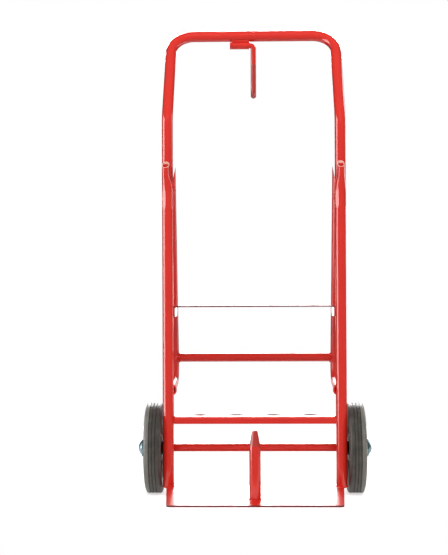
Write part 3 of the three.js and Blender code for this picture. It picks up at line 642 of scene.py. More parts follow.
# %% Toe plate slope and the pressed top
TOE_FRONT_Y = -145
TOE_THICKNESS = 4
TOE_SLOPE = math.tan(math.radians(7))
PRESS_START = 676
PRESS_END = 732
PRESSED_WIDTH = 16.5
PRESSED_OFFSETS = {-1: 4.2, 1: 1.3}
TOP_DROP = 17
DROP_START = 698
FLAT_BOTTOM = 641
FLAT_TOP = 690
FLAT_ANGLES = {-1: math.radians(43.5), 1: math.radians(58)}
FLAT_DEPTH = 1.0
FLAT_RUN_IN = 4
FLAT_RUN_OUT = 14
# Below 1 a pressed section is squarer than an ellipse.
OVAL_POWER = 0.8


def toe_top(y):
    return TOE_THICKNESS + (y - TOE_FRONT_Y) * TOE_SLOPE


def smooth_share(value, start, end):
    share = min(max((value - start) / (end - start), 0), 1)
    return share * share * (3 - 2 * share)


def flats_pressed(point, side):
    """Two shallow flats where the jaws gripped the front of the tube."""
    depth = smooth_share(point.z, FLAT_BOTTOM, FLAT_BOTTOM + FLAT_RUN_IN)
    depth *= 1 - smooth_share(point.z, FLAT_TOP - FLAT_RUN_OUT, FLAT_TOP)
    for hand, angle in FLAT_ANGLES.items():
        facing = Vector((hand * math.sin(angle), -math.cos(angle), 0))
        out = (point.x - side * UPRIGHT_X) * facing.x + point.y * facing.y
        over = out - (UPRIGHT_RADIUS - FLAT_DEPTH)
        if over > 0:
            point = point - facing * over * depth
    return point


def top_pressed(point, side):
    """The oval top and the slanted end."""
    across = point.x - side * UPRIGHT_X
    radius = math.hypot(across, point.y)
    inset = UPRIGHT_RADIUS - radius
    half_width = PRESSED_WIDTH / 2
    half_depth = half_width + math.pi * (UPRIGHT_RADIUS - half_width) / 2
    middle_y = UPRIGHT_RADIUS - half_depth
    angle = math.atan2(point.y, across)
    full = [math.copysign(abs(f(angle)) ** OVAL_POWER, f(angle)) for f in (math.cos, math.sin)]
    oval_x = side * (UPRIGHT_X + PRESSED_OFFSETS[side]) + full[0] * (half_width - inset)
    oval_y = middle_y + full[1] * (half_depth - inset)
    share = smooth_share(point.z, PRESS_START, PRESS_END)
    x = point.x + (oval_x - point.x) * share
    y = point.y + (oval_y - point.y) * share
    slant = max(point.z - DROP_START, 0) / (UPRIGHT_TOP - DROP_START)
    forward = (middle_y + half_depth - y) / (2 * half_depth)
    return Vector((x, y, point.z - slant * TOP_DROP * forward))


# %% Uprights
UPRIGHT_SIDES = 64
# Five rings of faces are the cut rim, and the others line the first millimetres of the bore.
HIGHLIGHT_RINGS = 7
# The foot and the pressed part are shaped point by point, so they have rings where they need them.
FOOT_HEIGHT = 40
RING_HEIGHTS = [*range(60, 620, 80), *range(632, 748, 2), UPRIGHT_TOP]
SIDES = (("left", -1), ("right", 1))

for word, side in SIDES:

    def pressed(p):
        if p.z < FOOT_HEIGHT:
            return p + Vector((0, 0, p.y * TOE_SLOPE))
        return top_pressed(flats_pressed(p, side), side) if p.z > FLAT_BOTTOM else p

    line = [Vector((side * UPRIGHT_X, 0, z)) for z in [toe_top(0)] + RING_HEIGHTS]
    rings = reshaped(tube_rings(line, UPRIGHT_RADIUS, WALL, UPRIGHT_SIDES), pressed)
    mesh = skin("upright_shell_" + word, [(rings, True)])
    frame_piece("upright_shell_" + word, mesh, "upright_" + word)
    # The cut rim and the first rings of the bore are drawn pale cream, as a painted highlight.
    mesh.materials.append(painted_highlight_rim)
    rim_start = len(line) - 2
    rim_end = rim_start + HIGHLIGHT_RINGS
    for polygon in mesh.polygons[rim_start * UPRIGHT_SIDES : rim_end * UPRIGHT_SIDES]:
        polygon.material_index = 1

# %% [markdown]
# ## Handle loop
# One length of 25 mm tube is bent four times: two kinks where the handle leans back, and two corners
# at the grip. Its legs lie behind the uprights and are welded to them.

# %% Handle loop
leg = ((HANDLE_LEG_Y, HANDLE_LEG_BOTTOM), (HANDLE_LEG_Y, KINK_Z), (HANDLE_BAR_Y, HANDLE_BAR_Z))
corners = [Vector((-HANDLE_X, y, z)) for y, z in leg]
corners += [Vector((HANDLE_X, y, z)) for y, z in reversed(leg)]
bends = [KINK_RADIUS, HANDLE_CORNER_RADIUS, HANDLE_CORNER_RADIUS, KINK_RADIUS]
rings = tube_rings(bent_path(corners, bends), HANDLE_RADIUS, WALL)
frame_piece("handle_tube", skin("handle_tube", [(rings, True)]), "handle_loop")

# %% [markdown]
# ## Rear bows and cross tube
# A bow runs from behind the joint of handle and upright down to the rear, turns in one bend and
# comes forward to the upright's foot. The fitter notches its end to sit on the round upright, so the
# last rings are slid along the tube until they meet the upright's surface. The top is coped: what
# would stand in front of the handle's leg is cut away, and only a narrow slanted strip shows beside
# it. The cross tube's ends are notched to the bows as the feet are.

# %% Rear bows
COPE_X = HANDLE_X - HANDLE_RADIUS + 0.2
COPE_START = 612
COPE_SLANT = 4.5
BOW_RING_STEP = 6
FOOT_END = UPRIGHT_RADIUS + 8
FOOT_NOTCH = 4
FOOT_TOP = BOW_CORNER.z + 20
bow_lean = (BOW_CORNER - BOW_TOP).normalized()


def bow_y(z):
    return BOW_TOP.y + (BOW_TOP.z - z) * (BOW_CORNER.y - BOW_TOP.y) / (BOW_TOP.z - BOW_CORNER.z)


def notch_y(x):
    """How far behind its axis the upright's surface lies, at one distance across."""
    across = min(abs(x - UPRIGHT_X), 0.98 * UPRIGHT_RADIUS)
    return math.sqrt(UPRIGHT_RADIUS**2 - across**2)


def coped(point):
    """The bow's top is slanted towards the handle's leg and cut away in front of it."""
    across = abs(point.x)
    share = min(max((point.z - COPE_START) / (BOW_TOP.z - COPE_START), 0), 1)
    result = point + bow_lean * (across - BOW_X + BOW_RADIUS) * COPE_SLANT * share
    if result.z > HANDLE_LEG_BOTTOM and result.y < HANDLE_LEG_Y:
        result.x = math.copysign(min(across, COPE_X), point.x)
    return result


def bow_fitted(p):
    if p.y < FOOT_END + FOOT_NOTCH and p.z < FOOT_TOP:
        slide = FOOT_END - notch_y(abs(p.x))
        return p - Vector((0, slide, slide * BOW_FOOT_RISE))
    return coped(p) if p.z > COPE_START else p


for word, side in SIDES:
    foot = Vector((0, FOOT_END, BOW_FOOT_Z + FOOT_END * BOW_FOOT_RISE))
    corners = [p + Vector((side * BOW_X, 0, 0)) for p in (BOW_TOP, BOW_CORNER, foot)]
    line = divided(bent_path(corners, [BOW_BEND_RADIUS]), BOW_RING_STEP)
    rings = reshaped(tube_rings(line, BOW_RADIUS, WALL), bow_fitted)
    name = "rear_bow_tube_" + word
    frame_piece(name, skin(name, [(rings, True)]), "rear_bow_" + word, finish=rubbed_powder_coat)

# %% Rear cross tube
cross_y = bow_y(CROSS_TUBE_Z)


def bow_notch_x(point):
    """Where the bow's inner side lies, beside one point of the cross tube's end."""
    away = Vector((0, point.y - cross_y, point.z - CROSS_TUBE_Z))
    off_axis = (away - bow_lean * away.dot(bow_lean)).length
    return BOW_X - math.sqrt(max(BOW_RADIUS**2 - off_axis**2, 0))


def cross_notched(p):
    return p - Vector((math.copysign(BOW_X - bow_notch_x(p), p.x), 0, 0))


line = [Vector((side * BOW_X, cross_y, CROSS_TUBE_Z)) for side in (-1, 1)]
rings = reshaped(tube_rings(line, CROSS_TUBE_RADIUS, WALL), cross_notched)
frame_piece("rear_cross_bar", skin("rear_cross_bar", [(rings, True)]), "rear_cross_tube")

# %% [markdown]
# ## Chisel plates and toe plate
# The two chisel plates are 3 mm sheet, punched and then folded on a press brake. The folded section
# is drawn once, pushed along its length and drilled with a boolean. A small bevel on every edge is
# what catches the light on real sheet, and weighted normals keep the flats flat.

# %% Helpers for sheet metal
SHEET = 3
FOLD_RADIUS = 4
EDGE_ROUND = 0.45


def applied(obj):
    """Turns the object's modifiers into its mesh."""
    view = bpy.context.evaluated_depsgraph_get()
    mesh = bpy.data.meshes.new_from_object(obj.evaluated_get(view))
    obj.modifiers.clear()
    obj.data = mesh
    return mesh


def folded_outline(corners, radius, thickness, turning_axis):
    """The outline of a folded sheet, drawn across its folds."""
    line = bent_path(corners, [radius] * (len(corners) - 2))
    faces = ([], [])
    for point, direction, _, _ in stations_along(line):
        out = turning_axis.cross(direction)
        faces[0].append(point + out * thickness / 2)
        faces[1].append(point - out * thickness / 2)
    return faces[0] + faces[1][::-1]


def cut_and_eased(name, mesh, cutters, ease=EDGE_ROUND):
    """Drills and trims a blank, rounds its edges and gives back the mesh."""
    blank = put_in_scene(name, mesh)
    tools = [put_in_scene("cutter", cutter) for cutter in cutters]
    for tool in tools:
        drill = blank.modifiers.new("drill", "BOOLEAN")
        drill.operation = "DIFFERENCE"
        drill.object = tool
    bevel = blank.modifiers.new("eased edges", "BEVEL")
    bevel.width = ease * MM
    bevel.segments = 2
    bevel.limit_method = "ANGLE"
    bevel.angle_limit = math.radians(45)
    blank.modifiers.new("flat flats", "WEIGHTED_NORMAL").keep_sharp = False
    result = applied(blank)
    for used in (*tools, blank):
        bpy.data.objects.remove(used)
    result.polygons.foreach_set("use_smooth", [True] * len(result.polygons))
    return result


HOLE_RADIUS = 17
DRILL_HALF = 12
HOLE_Y = 47
HOLE_XS = (-125.7, -41.9, 41.9, 125.7)


def chisel_drills(top):
    axis = Vector((0, 0, 1))
    profile = [(-DRILL_HALF, 0), (-DRILL_HALF, HOLE_RADIUS)]
    profile += [(DRILL_HALF, HOLE_RADIUS), (DRILL_HALF, 0)]
    middles = [Vector((x, HOLE_Y, top)) for x in HOLE_XS]
    return [skin("drill", [(turned_rings(profile, m, axis), False)]) for m in middles]


def in_hole_wall(middle, normal):
    """The walls of the holes get the dark red coat, as painted shade."""
    away = min(math.hypot(middle.x - x, middle.y - HOLE_Y) for x in HOLE_XS)
    return away < HOLE_RADIUS + EDGE_ROUND and abs(normal.z) < 0.7


# %% Lower chisel shelf
PLATE_HALF_WIDTH = 180.2
SHELF_TOP = 176
SHELF_DEPTH = 88
SHELF_LIP = 15.4

middle = SHELF_TOP - SHEET / 2
foot = SHELF_TOP - SHELF_LIP
section = [(0, foot), (0, middle), (SHELF_DEPTH, middle), (SHELF_DEPTH, foot)]
corners = [Vector((-PLATE_HALF_WIDTH, y, z)) for y, z in section]
outline = folded_outline(corners, FOLD_RADIUS, SHEET, Vector((1, 0, 0)))
blank = prism("shelf", outline, Vector((2 * PLATE_HALF_WIDTH, 0, 0)))
mesh = cut_and_eased("shelf", blank, chisel_drills(SHELF_TOP))
frame_piece("chisel_shelf_sheet", mesh, "lower_chisel_shelf")
# The walls of the holes get the dark red, as painted shade.
refinish(mesh, painted_shade_coat, in_hole_wall)

# %% Upper chisel plate
PLATE_TOP = 424
PLATE_REAR_Y = 74.5
PLATE_FLANGE = 24
CORNER_CUT = 10
CUTTER_SPARE = 5

middle = PLATE_TOP - SHEET / 2
foot = PLATE_TOP - PLATE_FLANGE
end = PLATE_HALF_WIDTH - SHEET / 2
section = ((-end, foot), (-end, middle), (end, middle), (end, foot))
corners = [Vector((x, -SHEET / 2, z)) for x, z in section]
outline = folded_outline(corners, FOLD_RADIUS, SHEET, Vector((0, 1, 0)))
blank = prism("plate", outline, Vector((0, PLATE_REAR_Y + SHEET / 2, 0)))
rear = PLATE_REAR_Y + CUTTER_SPARE
below = foot - CUTTER_SPARE
wedge = [
    Vector((-UPRIGHT_X, y, z))
    for y, z in ((rear - CORNER_CUT - 2 * CUTTER_SPARE, below), (rear, below),
                 (rear, foot + CORNER_CUT + CUTTER_SPARE))
]
corner_cutter = prism("wedge", wedge, Vector((2 * UPRIGHT_X, 0, 0)))
mesh = cut_and_eased("plate", blank, chisel_drills(PLATE_TOP) + [corner_cutter])
frame_piece("chisel_plate_sheet", mesh, "upper_chisel_plate")
# The front edge and the walls of the holes get the dark red, as painted shade.
refinish(mesh, painted_shade_coat, lambda m, n: n.y < -0.5 or in_hole_wall(m, n))

# %% [markdown]
# The toe plate is 4 mm plate, a little wider at the rear, with its front corners cut round. It
# slopes down to the ground in front, so that it can be pushed under a load. Its flat faces have the
# rubbed coat, and its edges are faces of their own with a dark red that is painted shade.

# %% Toe plate
TOE_REAR_Y = 14
TOE_FRONT_HALF = 188
TOE_REAR_HALF = 199
TOE_CORNER = 7
TOE_EDGE_ROUND = 0.7

front = [
    Vector((TOE_REAR_HALF, TOE_REAR_Y, 0)), Vector((TOE_FRONT_HALF, TOE_FRONT_Y, 0)),
    Vector((-TOE_FRONT_HALF, TOE_FRONT_Y, 0)), Vector((-TOE_REAR_HALF, TOE_REAR_Y, 0)),
]
outline = [
    p + Vector((0, 0, (p.y - TOE_FRONT_Y) * TOE_SLOPE)) for p in bent_path(front, [TOE_CORNER] * 2)
]
blank = prism("toe", outline, Vector((0, 0, TOE_THICKNESS)))
mesh = cut_and_eased("toe", blank, [], TOE_EDGE_ROUND)
frame_piece("toe_plate_sheet", mesh, "toe_plate", finish=rubbed_powder_coat)
# The edges get the dark red, as painted shade.
refinish(mesh, painted_shade_coat, lambda middle, normal: abs(normal.z) < 0.95)

# %% [markdown]
# ## Spigot
# A solid bar turned to a blunt cone at the top. The breaker's chuck drops over it, and the rounded
# nose finds the way in. The nose is drawn in a darker, duller red. The bar is turned about a
# vertical axis, and its foot follows the toe plate.

# %% Spigot
SPIGOT_Y = -100
SPIGOT_RADIUS = 12.5
SPIGOT_TOP = 157
SPIGOT_NOSE = 38
TIP_RADIUS = 5.8
TIP_ROUND = 5
DARK_NOSE_SHARE = 0.6
SPIGOT_FOOT_RINGS = 8


def eased(corners, ease, closed=True, steps=3):
    """An outline whose corners are turned into small curves."""
    count = len(corners)
    result = []
    for i, corner in enumerate(corners):
        if not closed and i in (0, count - 1):
            result.append(corner)
            continue
        here = Vector(corner)
        before = Vector(corners[i - 1])
        after = Vector(corners[(i + 1) % count])
        reach_in = min(ease, 0.45 * (before - here).length)
        reach_out = min(ease, 0.45 * (after - here).length)
        start = here + (before - here).normalized() * reach_in
        end = here + (after - here).normalized() * reach_out
        for k in range(steps + 1):
            t = k / steps
            result.append(tuple(start * (1 - t) ** 2 + here * 2 * t * (1 - t) + end * t * t))
    return result


height = SPIGOT_TOP - toe_top(SPIGOT_Y)
profile = [(0, 0), (0, SPIGOT_RADIUS), (height - SPIGOT_NOSE, SPIGOT_RADIUS)]
profile += [(height, TIP_RADIUS), (height, 0)]
profile = eased(profile, TIP_ROUND, closed=False, steps=6)
rings = turned_rings(profile, Vector((0, SPIGOT_Y, toe_top(SPIGOT_Y))), Vector((0, 0, 1)))
foot_rings = reshaped(
    rings[:SPIGOT_FOOT_RINGS], lambda p: p + Vector((0, 0, (p.y - SPIGOT_Y) * TOE_SLOPE)),
)
mesh = skin("spigot_bar", [(foot_rings + rings[SPIGOT_FOOT_RINGS:], False)])
frame_piece("spigot_bar", mesh, "spigot")
darker_from = SPIGOT_TOP - DARK_NOSE_SHARE * SPIGOT_NOSE
# The nose is drawn in the darker, duller red.
refinish(mesh, darker_red_coat, lambda middle, normal: middle.z > darker_from)

# %% [markdown]
# ## Axle brackets, axle and hook sleeve
# Flame-cut plates behind the uprights carry the axle, a plain 18 mm bar that runs right through.
# The sleeve is a short end of tube under the top bar.

# %% Axle brackets
BRACKET_INNER_X = 193.0
BRACKET_THICKNESS = 6
BRACKET_EYE = 20
BRACKET_HALF_HEIGHT = 42
BRACKET_ROOT_Y = 10.5

for word, side in SIDES:
    section = [(BRACKET_ROOT_Y, -BRACKET_HALF_HEIGHT), (BRACKET_ROOT_Y + 2, -BRACKET_HALF_HEIGHT)]
    section += [
        (AXLE_Y + BRACKET_EYE * math.cos(a), BRACKET_EYE * math.sin(a))
        for a in (math.pi * (k / 24 - 0.5) for k in range(25))
    ]
    section += [(BRACKET_ROOT_Y + 2, BRACKET_HALF_HEIGHT), (BRACKET_ROOT_Y, BRACKET_HALF_HEIGHT)]
    outline = [Vector((side * BRACKET_INNER_X, y, AXLE_Z + z)) for y, z in section]
    blank = prism("bracket", outline, Vector((side * BRACKET_THICKNESS, 0, 0)))
    mesh = cut_and_eased("bracket", blank, [])
    frame_piece("axle_bracket_plate_" + word, mesh, "axle_bracket_" + word)

# %% Axle and hook sleeve
AXLE_RADIUS = 9
AXLE_HALF_LENGTH = 259.8
AXLE_END_ROUND = 1.5
SLEEVE_RADIUS = 9
SLEEVE_ENDS = (-53, -9)
SLEEVE_GAP = 0.3
PIVOT = Vector((0, HANDLE_BAR_Y, HANDLE_BAR_Z - HANDLE_RADIUS - SLEEVE_RADIUS - SLEEVE_GAP))


def on_axle(x):
    return Vector((x, AXLE_Y, AXLE_Z))


line = [on_axle(-AXLE_HALF_LENGTH), on_axle(AXLE_HALF_LENGTH)]
mesh = skin("axle_bar", [(bar_rings(line, AXLE_RADIUS, AXLE_END_ROUND), False)])
frame_piece("axle_bar", mesh, "axle")

line = [PIVOT + Vector((x, 0, 0)) for x in SLEEVE_ENDS]
mesh = skin("hook_sleeve_tube", [(tube_rings(line, SLEEVE_RADIUS, WALL), True)])
frame_piece("hook_sleeve_tube", mesh, "hook_sleeve")

# %% [markdown]
# ## Swing hook
# A 13 mm bar is bent to a right angle at the sleeve and to a half circle at its foot, and its prong
# is left blunt. It hangs with its weight under the sleeve, so the angle is worked out from the
# middle of its centreline and not typed in.

# %% Swing hook
ROD_RADIUS = 6.5
ROD_TOP_BEND = 9
ROD_DROP = 119
ROD_FOOT_BEND = 18
PRONG = 76
HOOK_WASHER = 2.5
SIDE_PLAY = 0.4
ROD_END_ROUND = 2.2
# The model's foot has flat facets. A quarter of a degree less lean keeps the round one within them.
FACET_EASE = math.radians(0.25)

rod_end = SLEEVE_ENDS[0] - SIDE_PLAY - HOOK_WASHER
prong_y = -2 * ROD_FOOT_BEND
corners = [
    Vector((rod_end, 0, 0)), Vector((0, 0, 0)), Vector((0, 0, -ROD_DROP)),
    Vector((0, prong_y, -ROD_DROP)), Vector((0, prong_y, PRONG - ROD_DROP)),
]
rod_line = bent_path(corners, [ROD_TOP_BEND, ROD_FOOT_BEND, ROD_FOOT_BEND])
runs = [((a + b) / 2, (b - a).length) for a, b in zip(rod_line, rod_line[1:])]
length = sum(run for _, run in runs)
weight = sum((middle * run for middle, run in runs), Vector()) / length
hang = math.atan2(-weight.y, -weight.z)
hang -= math.copysign(FACET_EASE, hang)
turn = Matrix.Rotation(hang, 3, "X")
rod_line = [turn @ p + PIVOT for p in rod_line]
print("hook hangs at", round(math.degrees(hang), 2), "degrees")
mesh = skin("swing_hook_rod", [(bar_rings(rod_line, ROD_RADIUS, ROD_END_ROUND), False)])
piece("swing_hook_rod", mesh, red_powder_coat, "hook", ["swing_hook"])
unturned = turn.inverted()
# The prong is drawn in the darker red, as painted shade.
refinish(
    mesh, darker_red_coat,
    lambda middle, normal: (unturned @ (middle - PIVOT)).y < prong_y / 2,
)


def turned_piece(name, profile, facing, centre, material, body, node, sides=TURNED_SIDES):
    """A closed profile turned about a level axis. It faces right with 1 and left with -1."""
    profile = [(facing * along, radius) for along, radius in profile]
    rings = turned_rings(profile, centre, Vector((1, 0, 0)), sides)
    mesh = skin(name, [(rings, True)])
    piece(name, mesh, material, body, [node])
    return mesh


def flat_ring(start, end, bore, radius):
    """The section of a plain ring, to be turned."""
    return [(start, bore), (end, bore), (end, radius), (start, radius)]


washer = flat_ring(0, HOOK_WASHER, ROD_RADIUS + 0.05, SLEEVE_RADIUS)
turned_piece(
    "hook_end_washer", eased(washer, 0.4), 1, PIVOT + Vector((rod_end, 0, 0)),
    red_powder_coat, "hook", "hook_washer", TUBE_SIDES,
)

# %% [markdown]
# ## Tyres
# The tyre is one moulding of solid rubber with three grooves round its tread, rounded shoulders and
# a narrow foot between the rim's lips. Fine ribs round the side wall are copies of the lathe marks
# that decorate the mould. Everything on it is round, so it is a profile turned about the axle.

# %% Tyres
TYRE_RADIUS = AXLE_Z
WHEEL_X = 227
GROOVE_DEPTH = 2
GROOVE_HALF = 1.2
GROOVE_PITCH = 7.2
TYRE_SIDES = 128
SIDE_WALL = [(14.4, 0.0), (17.2, 2.2), (19.1, 9.2), (19.5, 15.4), (16.9, 21.9), (10.9, 26.1)]
TYRE_FOOT = (10.9, 67.8)
SIDE_RIBS = (5.8, 8.0, 17.5)
RIB_HEIGHT = 0.35
RIB_HALF = 0.45


def curve_through(points, steps):
    """A smooth curve through points, by the Catmull-Rom rule."""
    padded = [points[0]] + list(points) + [points[-1]]
    result = []
    for a, b, c, d in zip(padded, padded[1:], padded[2:], padded[3:]):
        for k in range(steps):
            t = k / steps
            result.append(tuple(
                0.5 * (2 * q + (r - p) * t + (2 * p - 5 * q + 4 * r - s) * t**2
                       + (3 * q - p - 3 * r + s) * t**3)
                for p, q, r, s in zip(a, b, c, d)
            ))
    return result + [points[-1]]


floor = TYRE_RADIUS - GROOVE_DEPTH
half_tread = []
for groove_a in (0, GROOVE_PITCH):
    steps = ((-1, TYRE_RADIUS), (-0.5, floor), (0.5, floor), (1, TYRE_RADIUS))
    groove = [(groove_a + GROOVE_HALF * share, radius) for share, radius in steps]
    half_tread += [p for p in groove if p[0] > 0]
side_wall = []
for out, down in curve_through(SIDE_WALL, 12):
    rib = sum(math.exp(-(((down - middle) / RIB_HALF) ** 2)) for middle in SIDE_RIBS)
    side_wall.append((out + RIB_HEIGHT * rib, TYRE_RADIUS - down))
tread = eased([(-a, r) for a, r in reversed(half_tread)] + half_tread, 0.3, closed=False, steps=2)
right = side_wall + [TYRE_FOOT]
tyre_profile = [(-a, r) for a, r in reversed(right)] + tread + right
for word, side in SIDES:
    mesh = turned_piece(
        "rubber_tyre_" + word, tyre_profile, 1, on_axle(side * WHEEL_X),
        moulded_rubber, "wheel_" + word, "tyre_" + word, TYRE_SIDES,
    )
    # The outer shoulder and side wall get the paler rubber, as a painted highlight.
    shoulder_x = WHEEL_X + GROOVE_PITCH + GROOVE_HALF
    refinish(mesh, painted_highlight_rubber, lambda middle, normal: side * middle.x > shoulder_x)

# %% [markdown]
# ## Rims, hubs and bushes
# Each wheel has two pressed discs back to back. They dish in from the hub to meet in the middle,
# where they are spot welded, and spread again to seat the tyre. The disc's section is a folded line
# given a thickness and turned, and the spot welds are small dents pressed into the finished mesh.

# %% Rims
RIM_SHEET = 2
RIM_LINE = [(16.3, 15), (27, 15), (38, 1.15), (66.5, 1.15), (66.5, 12.2), (75, 12.2)]
RIM_BENDS = [5, 5, 3.5, 3.0]
SPOT_WELDS = 6
SPOT_PLACE = 51
SPOT_RADIUS = 3.5
SPOT_DEPTH = 0.7


def rim_profile(facing):
    corners = [Vector((0, radius, along)) for radius, along in RIM_LINE]
    line = divided(bent_path(corners, RIM_BENDS), 1.5)
    outer, inner = [], []
    for point, direction, _, _ in stations_along(line):
        out = Vector((1, 0, 0)).cross(direction) * RIM_SHEET / 2
        outer.append((facing * (point.z + out.z), point.y + out.y))
        inner.append((facing * (point.z - out.z), point.y - out.y))
    return outer + inner[::-1]


def spot_welded(mesh, centre, facing):
    """Presses a dent at each spot weld."""
    spots = [2 * math.pi * k / SPOT_WELDS for k in range(SPOT_WELDS)]
    spots = [centre + Vector((0, math.cos(a), math.sin(a))) * SPOT_PLACE for a in spots]
    for vertex in mesh.vertices:
        for spot in [in_place(spot) for spot in spots]:
            away = math.hypot(vertex.co.y - spot.y, vertex.co.z - spot.z) / MM
            if away < 2 * SPOT_RADIUS:
                vertex.co.x -= facing * SPOT_DEPTH * math.exp(-((away / SPOT_RADIUS) ** 4)) * MM


for word, side in SIDES:
    centre = on_axle(side * WHEEL_X)
    for place_word, facing in (("outer", side), ("inner", -side)):
        name = f"{place_word}_rim_disc_{word}"
        rings = turned_rings(rim_profile(facing), centre, Vector((1, 0, 0)), TYRE_SIDES)
        mesh = skin(name, [(rings, True)])
        spot_welded(mesh, centre, facing)
        # The inner discs get the darker zinc, as painted shade.
        finish = blue_zinc_plate if place_word == "outer" else painted_shade_zinc
        nodes = [f"{place_word}_rim_half_{word}"]
        piece(name, mesh, finish, "wheel_" + word, nodes)

# %% Hubs and bushes
HUB_RADIUS = 16
HUB_HALF = 23.5
BUSH_BORE = 9.3
BUSH_LENGTH = 15
BUSH_END = 25.3
PLAY = 0.1

for word, side in SIDES:
    centre = on_axle(side * WHEEL_X)
    # The hub gets the darker zinc, as painted shade.
    hub = flat_ring(-HUB_HALF, HUB_HALF, HUB_RADIUS - WALL, HUB_RADIUS)
    turned_piece(
        "hub_tube_" + word, eased(hub, 0.5), 1, centre,
        painted_shade_zinc, "wheel_" + word, "hub_" + word,
    )
    for place_word, facing in (("outer", side), ("inner", -side)):
        bush = [
            (HUB_HALF - BUSH_LENGTH, BUSH_BORE), (BUSH_END, BUSH_BORE), (BUSH_END, HUB_RADIUS),
            (HUB_HALF + PLAY, HUB_RADIUS), (HUB_HALF + PLAY, HUB_RADIUS - WALL - PLAY),
            (HUB_HALF - BUSH_LENGTH, HUB_RADIUS - WALL - PLAY),
        ]
        turned_piece(
            f"{place_word}_nylon_bush_{word}", eased(bush, 0.4), facing, centre,
            moulded_nylon, "wheel_" + word, f"{place_word}_bush_{word}",
        )

# %% [markdown]
# ## Washers, clips and caps
# From the bracket outwards there are a washer, the wheel, another washer, a push-on spring clip and a
# domed cap that snaps over it. The clip has a ring of bent teeth that bite into the axle. The cap is
# drawn from thin sheet with a flat rim, and the radius where dome and rim meet is what shows as a
# dark line round its foot.

# %% Washers
INNER_WASHER_X = 199.3
OUTER_WASHER_X = 252.7
WASHER_RADIUS = 17
WASHER_THICKNESS = 2

for word, side in SIDES:
    for place_word, place_x in (("inner", INNER_WASHER_X), ("outer", OUTER_WASHER_X)):
        profile = eased(flat_ring(0, WASHER_THICKNESS, BUSH_BORE, WASHER_RADIUS), 0.35)
        turned_piece(
            f"{place_word}_plain_washer_{word}", profile, side, on_axle(side * place_x),
            blue_zinc_plate, "frame", f"{place_word}_washer_{word}",
        )

# %% Clips
CAP_X = 255.0
CLIP_RADIUS = 15
CLIP_THICKNESS = 1.2
CLIP_TEETH = 8
CLIP_SIDES = 96
CLIP_BORE = 9.15
TOOTH_GAP = 2.2
TOOTH_ROOT = 1.85
TOOTH_SHARE = 0.7

for word, side in SIDES:
    profile = eased(flat_ring(0, CLIP_THICKNESS, CLIP_BORE, CLIP_RADIUS), 0.3)
    profile = [(side * a, r) for a, r in profile]
    centre = on_axle(side * CAP_X)
    rings = turned_rings(profile, centre, Vector((1, 0, 0)), CLIP_SIDES)
    for one in rings:
        for k, p in enumerate(one):
            away = Vector((0, p.y - AXLE_Y, p.z - AXLE_Z))
            between_teeth = k * CLIP_TEETH / CLIP_SIDES % 1 > TOOTH_SHARE
            if away.length < CLIP_BORE + TOOTH_ROOT and between_teeth:
                one[k] = p + away.normalized() * TOOTH_GAP
    name = "axle_spring_clip_" + word
    mesh = skin(name, [(rings, True)])
    piece(name, mesh, phosphated_spring_steel, "frame", ["axle_clip_" + word])

# %% Caps
CAP_DOME_RADIUS = 18
CAP_FLANGE = 2
CAP_RIM = 1.6
CAP_HEIGHT = 9.6
CAP_SHEET = 1.2
CAP_BASE = 0.05
cap_sphere = (CAP_DOME_RADIUS**2 + CAP_HEIGHT**2) / (2 * CAP_HEIGHT)
cap_centre = CAP_HEIGHT - cap_sphere


def dome(radius, base, steps=16):
    start = math.acos((base - cap_centre) / radius)
    angles = [start * (1 - k / steps) for k in range(steps + 1)]
    return [(cap_centre + radius * math.cos(a), radius * math.sin(a)) for a in angles]


rim = CAP_DOME_RADIUS + CAP_FLANGE
outer_dome = dome(cap_sphere, CAP_RIM)
inner_dome = dome(cap_sphere - CAP_SHEET, CAP_BASE)
foot = [(CAP_BASE, rim - 0.6), (CAP_BASE, rim), (CAP_RIM, rim), outer_dome[0]]
profile = inner_dome[:1] + eased(foot, 0.5, closed=False) + outer_dome[1:] + inner_dome[:0:-1]
for word, side in SIDES:
    turned_piece(
        "axle_end_cap_" + word, profile, side, on_axle(side * CAP_X),
        cap_zinc_plate, "frame", "axle_cap_" + word,
    )

# %% [markdown]
# ## Weld beads
# The frame is welded by hand with a wire feed. Each bead is a row of overlapping pools, about three
# millimetres apart, that lie in the valley between two pieces. A bead here is a small ring carried
# along the joint, which swells and draws in with each pool and wanders a little, with a seeded
# random generator so that it is the same on every run.

# %% Helpers for weld beads
POOL_LENGTH = 3.2
POOL_DIP = 0.16
POOL_FULLNESS = 0.6
WANDER = (0.97, 1.03)
END_SHARE = 0.35
END_GROWTH = 0.2
BEAD_STEP = 0.8
BEAD_SIDES = 12
# Half the width of each kind of bead. Sheet gets finer ones than tube.
BEAD_RADII = {
    "seam": 3.4, "valley": 2.5, "bow foot": 2.6, "shelf": 2.2, "lip": 1.8, "flange": 1.8,
    "toe plate": 1.6, "bracket": 2.0, "axle": 2.0, "cross tube": 2.1, "sleeve": 3.2,
}
# How far most beads stand off the joint that they fill.
STAND_OFF = 0.6
welder = random.Random(7)


def bead(points, kind, closed=False):
    """A strip of rings for one bead."""
    radius = BEAD_RADII[kind]
    line = divided(points + points[:1] if closed else points, BEAD_STEP)
    if closed:
        line = line[:-1]
    stations = stations_along(line, closed)
    rings = []
    travelled = 0
    for i, station in enumerate(stations):
        if i > 0:
            travelled += (line[i] - line[i - 1]).length
        pool = travelled / POOL_LENGTH % 1
        swell = 1 - POOL_DIP + POOL_DIP * math.sin(math.pi * pool) ** POOL_FULLNESS
        from_end = min(i, len(stations) - 1 - i)
        taper = 1 if closed else min(1, END_SHARE + END_GROWTH * from_end)
        wander = welder.uniform(*WANDER)
        rings.append(ring(station, radius * swell * taper * wander, 0, BEAD_SIDES))
    return rings, closed


def round_bead(place_at, kind, count=72):
    """A closed bead along a joint line that is a function of the angle."""
    return bead([place_at(2 * math.pi * k / count) for k in range(count)], kind, True)


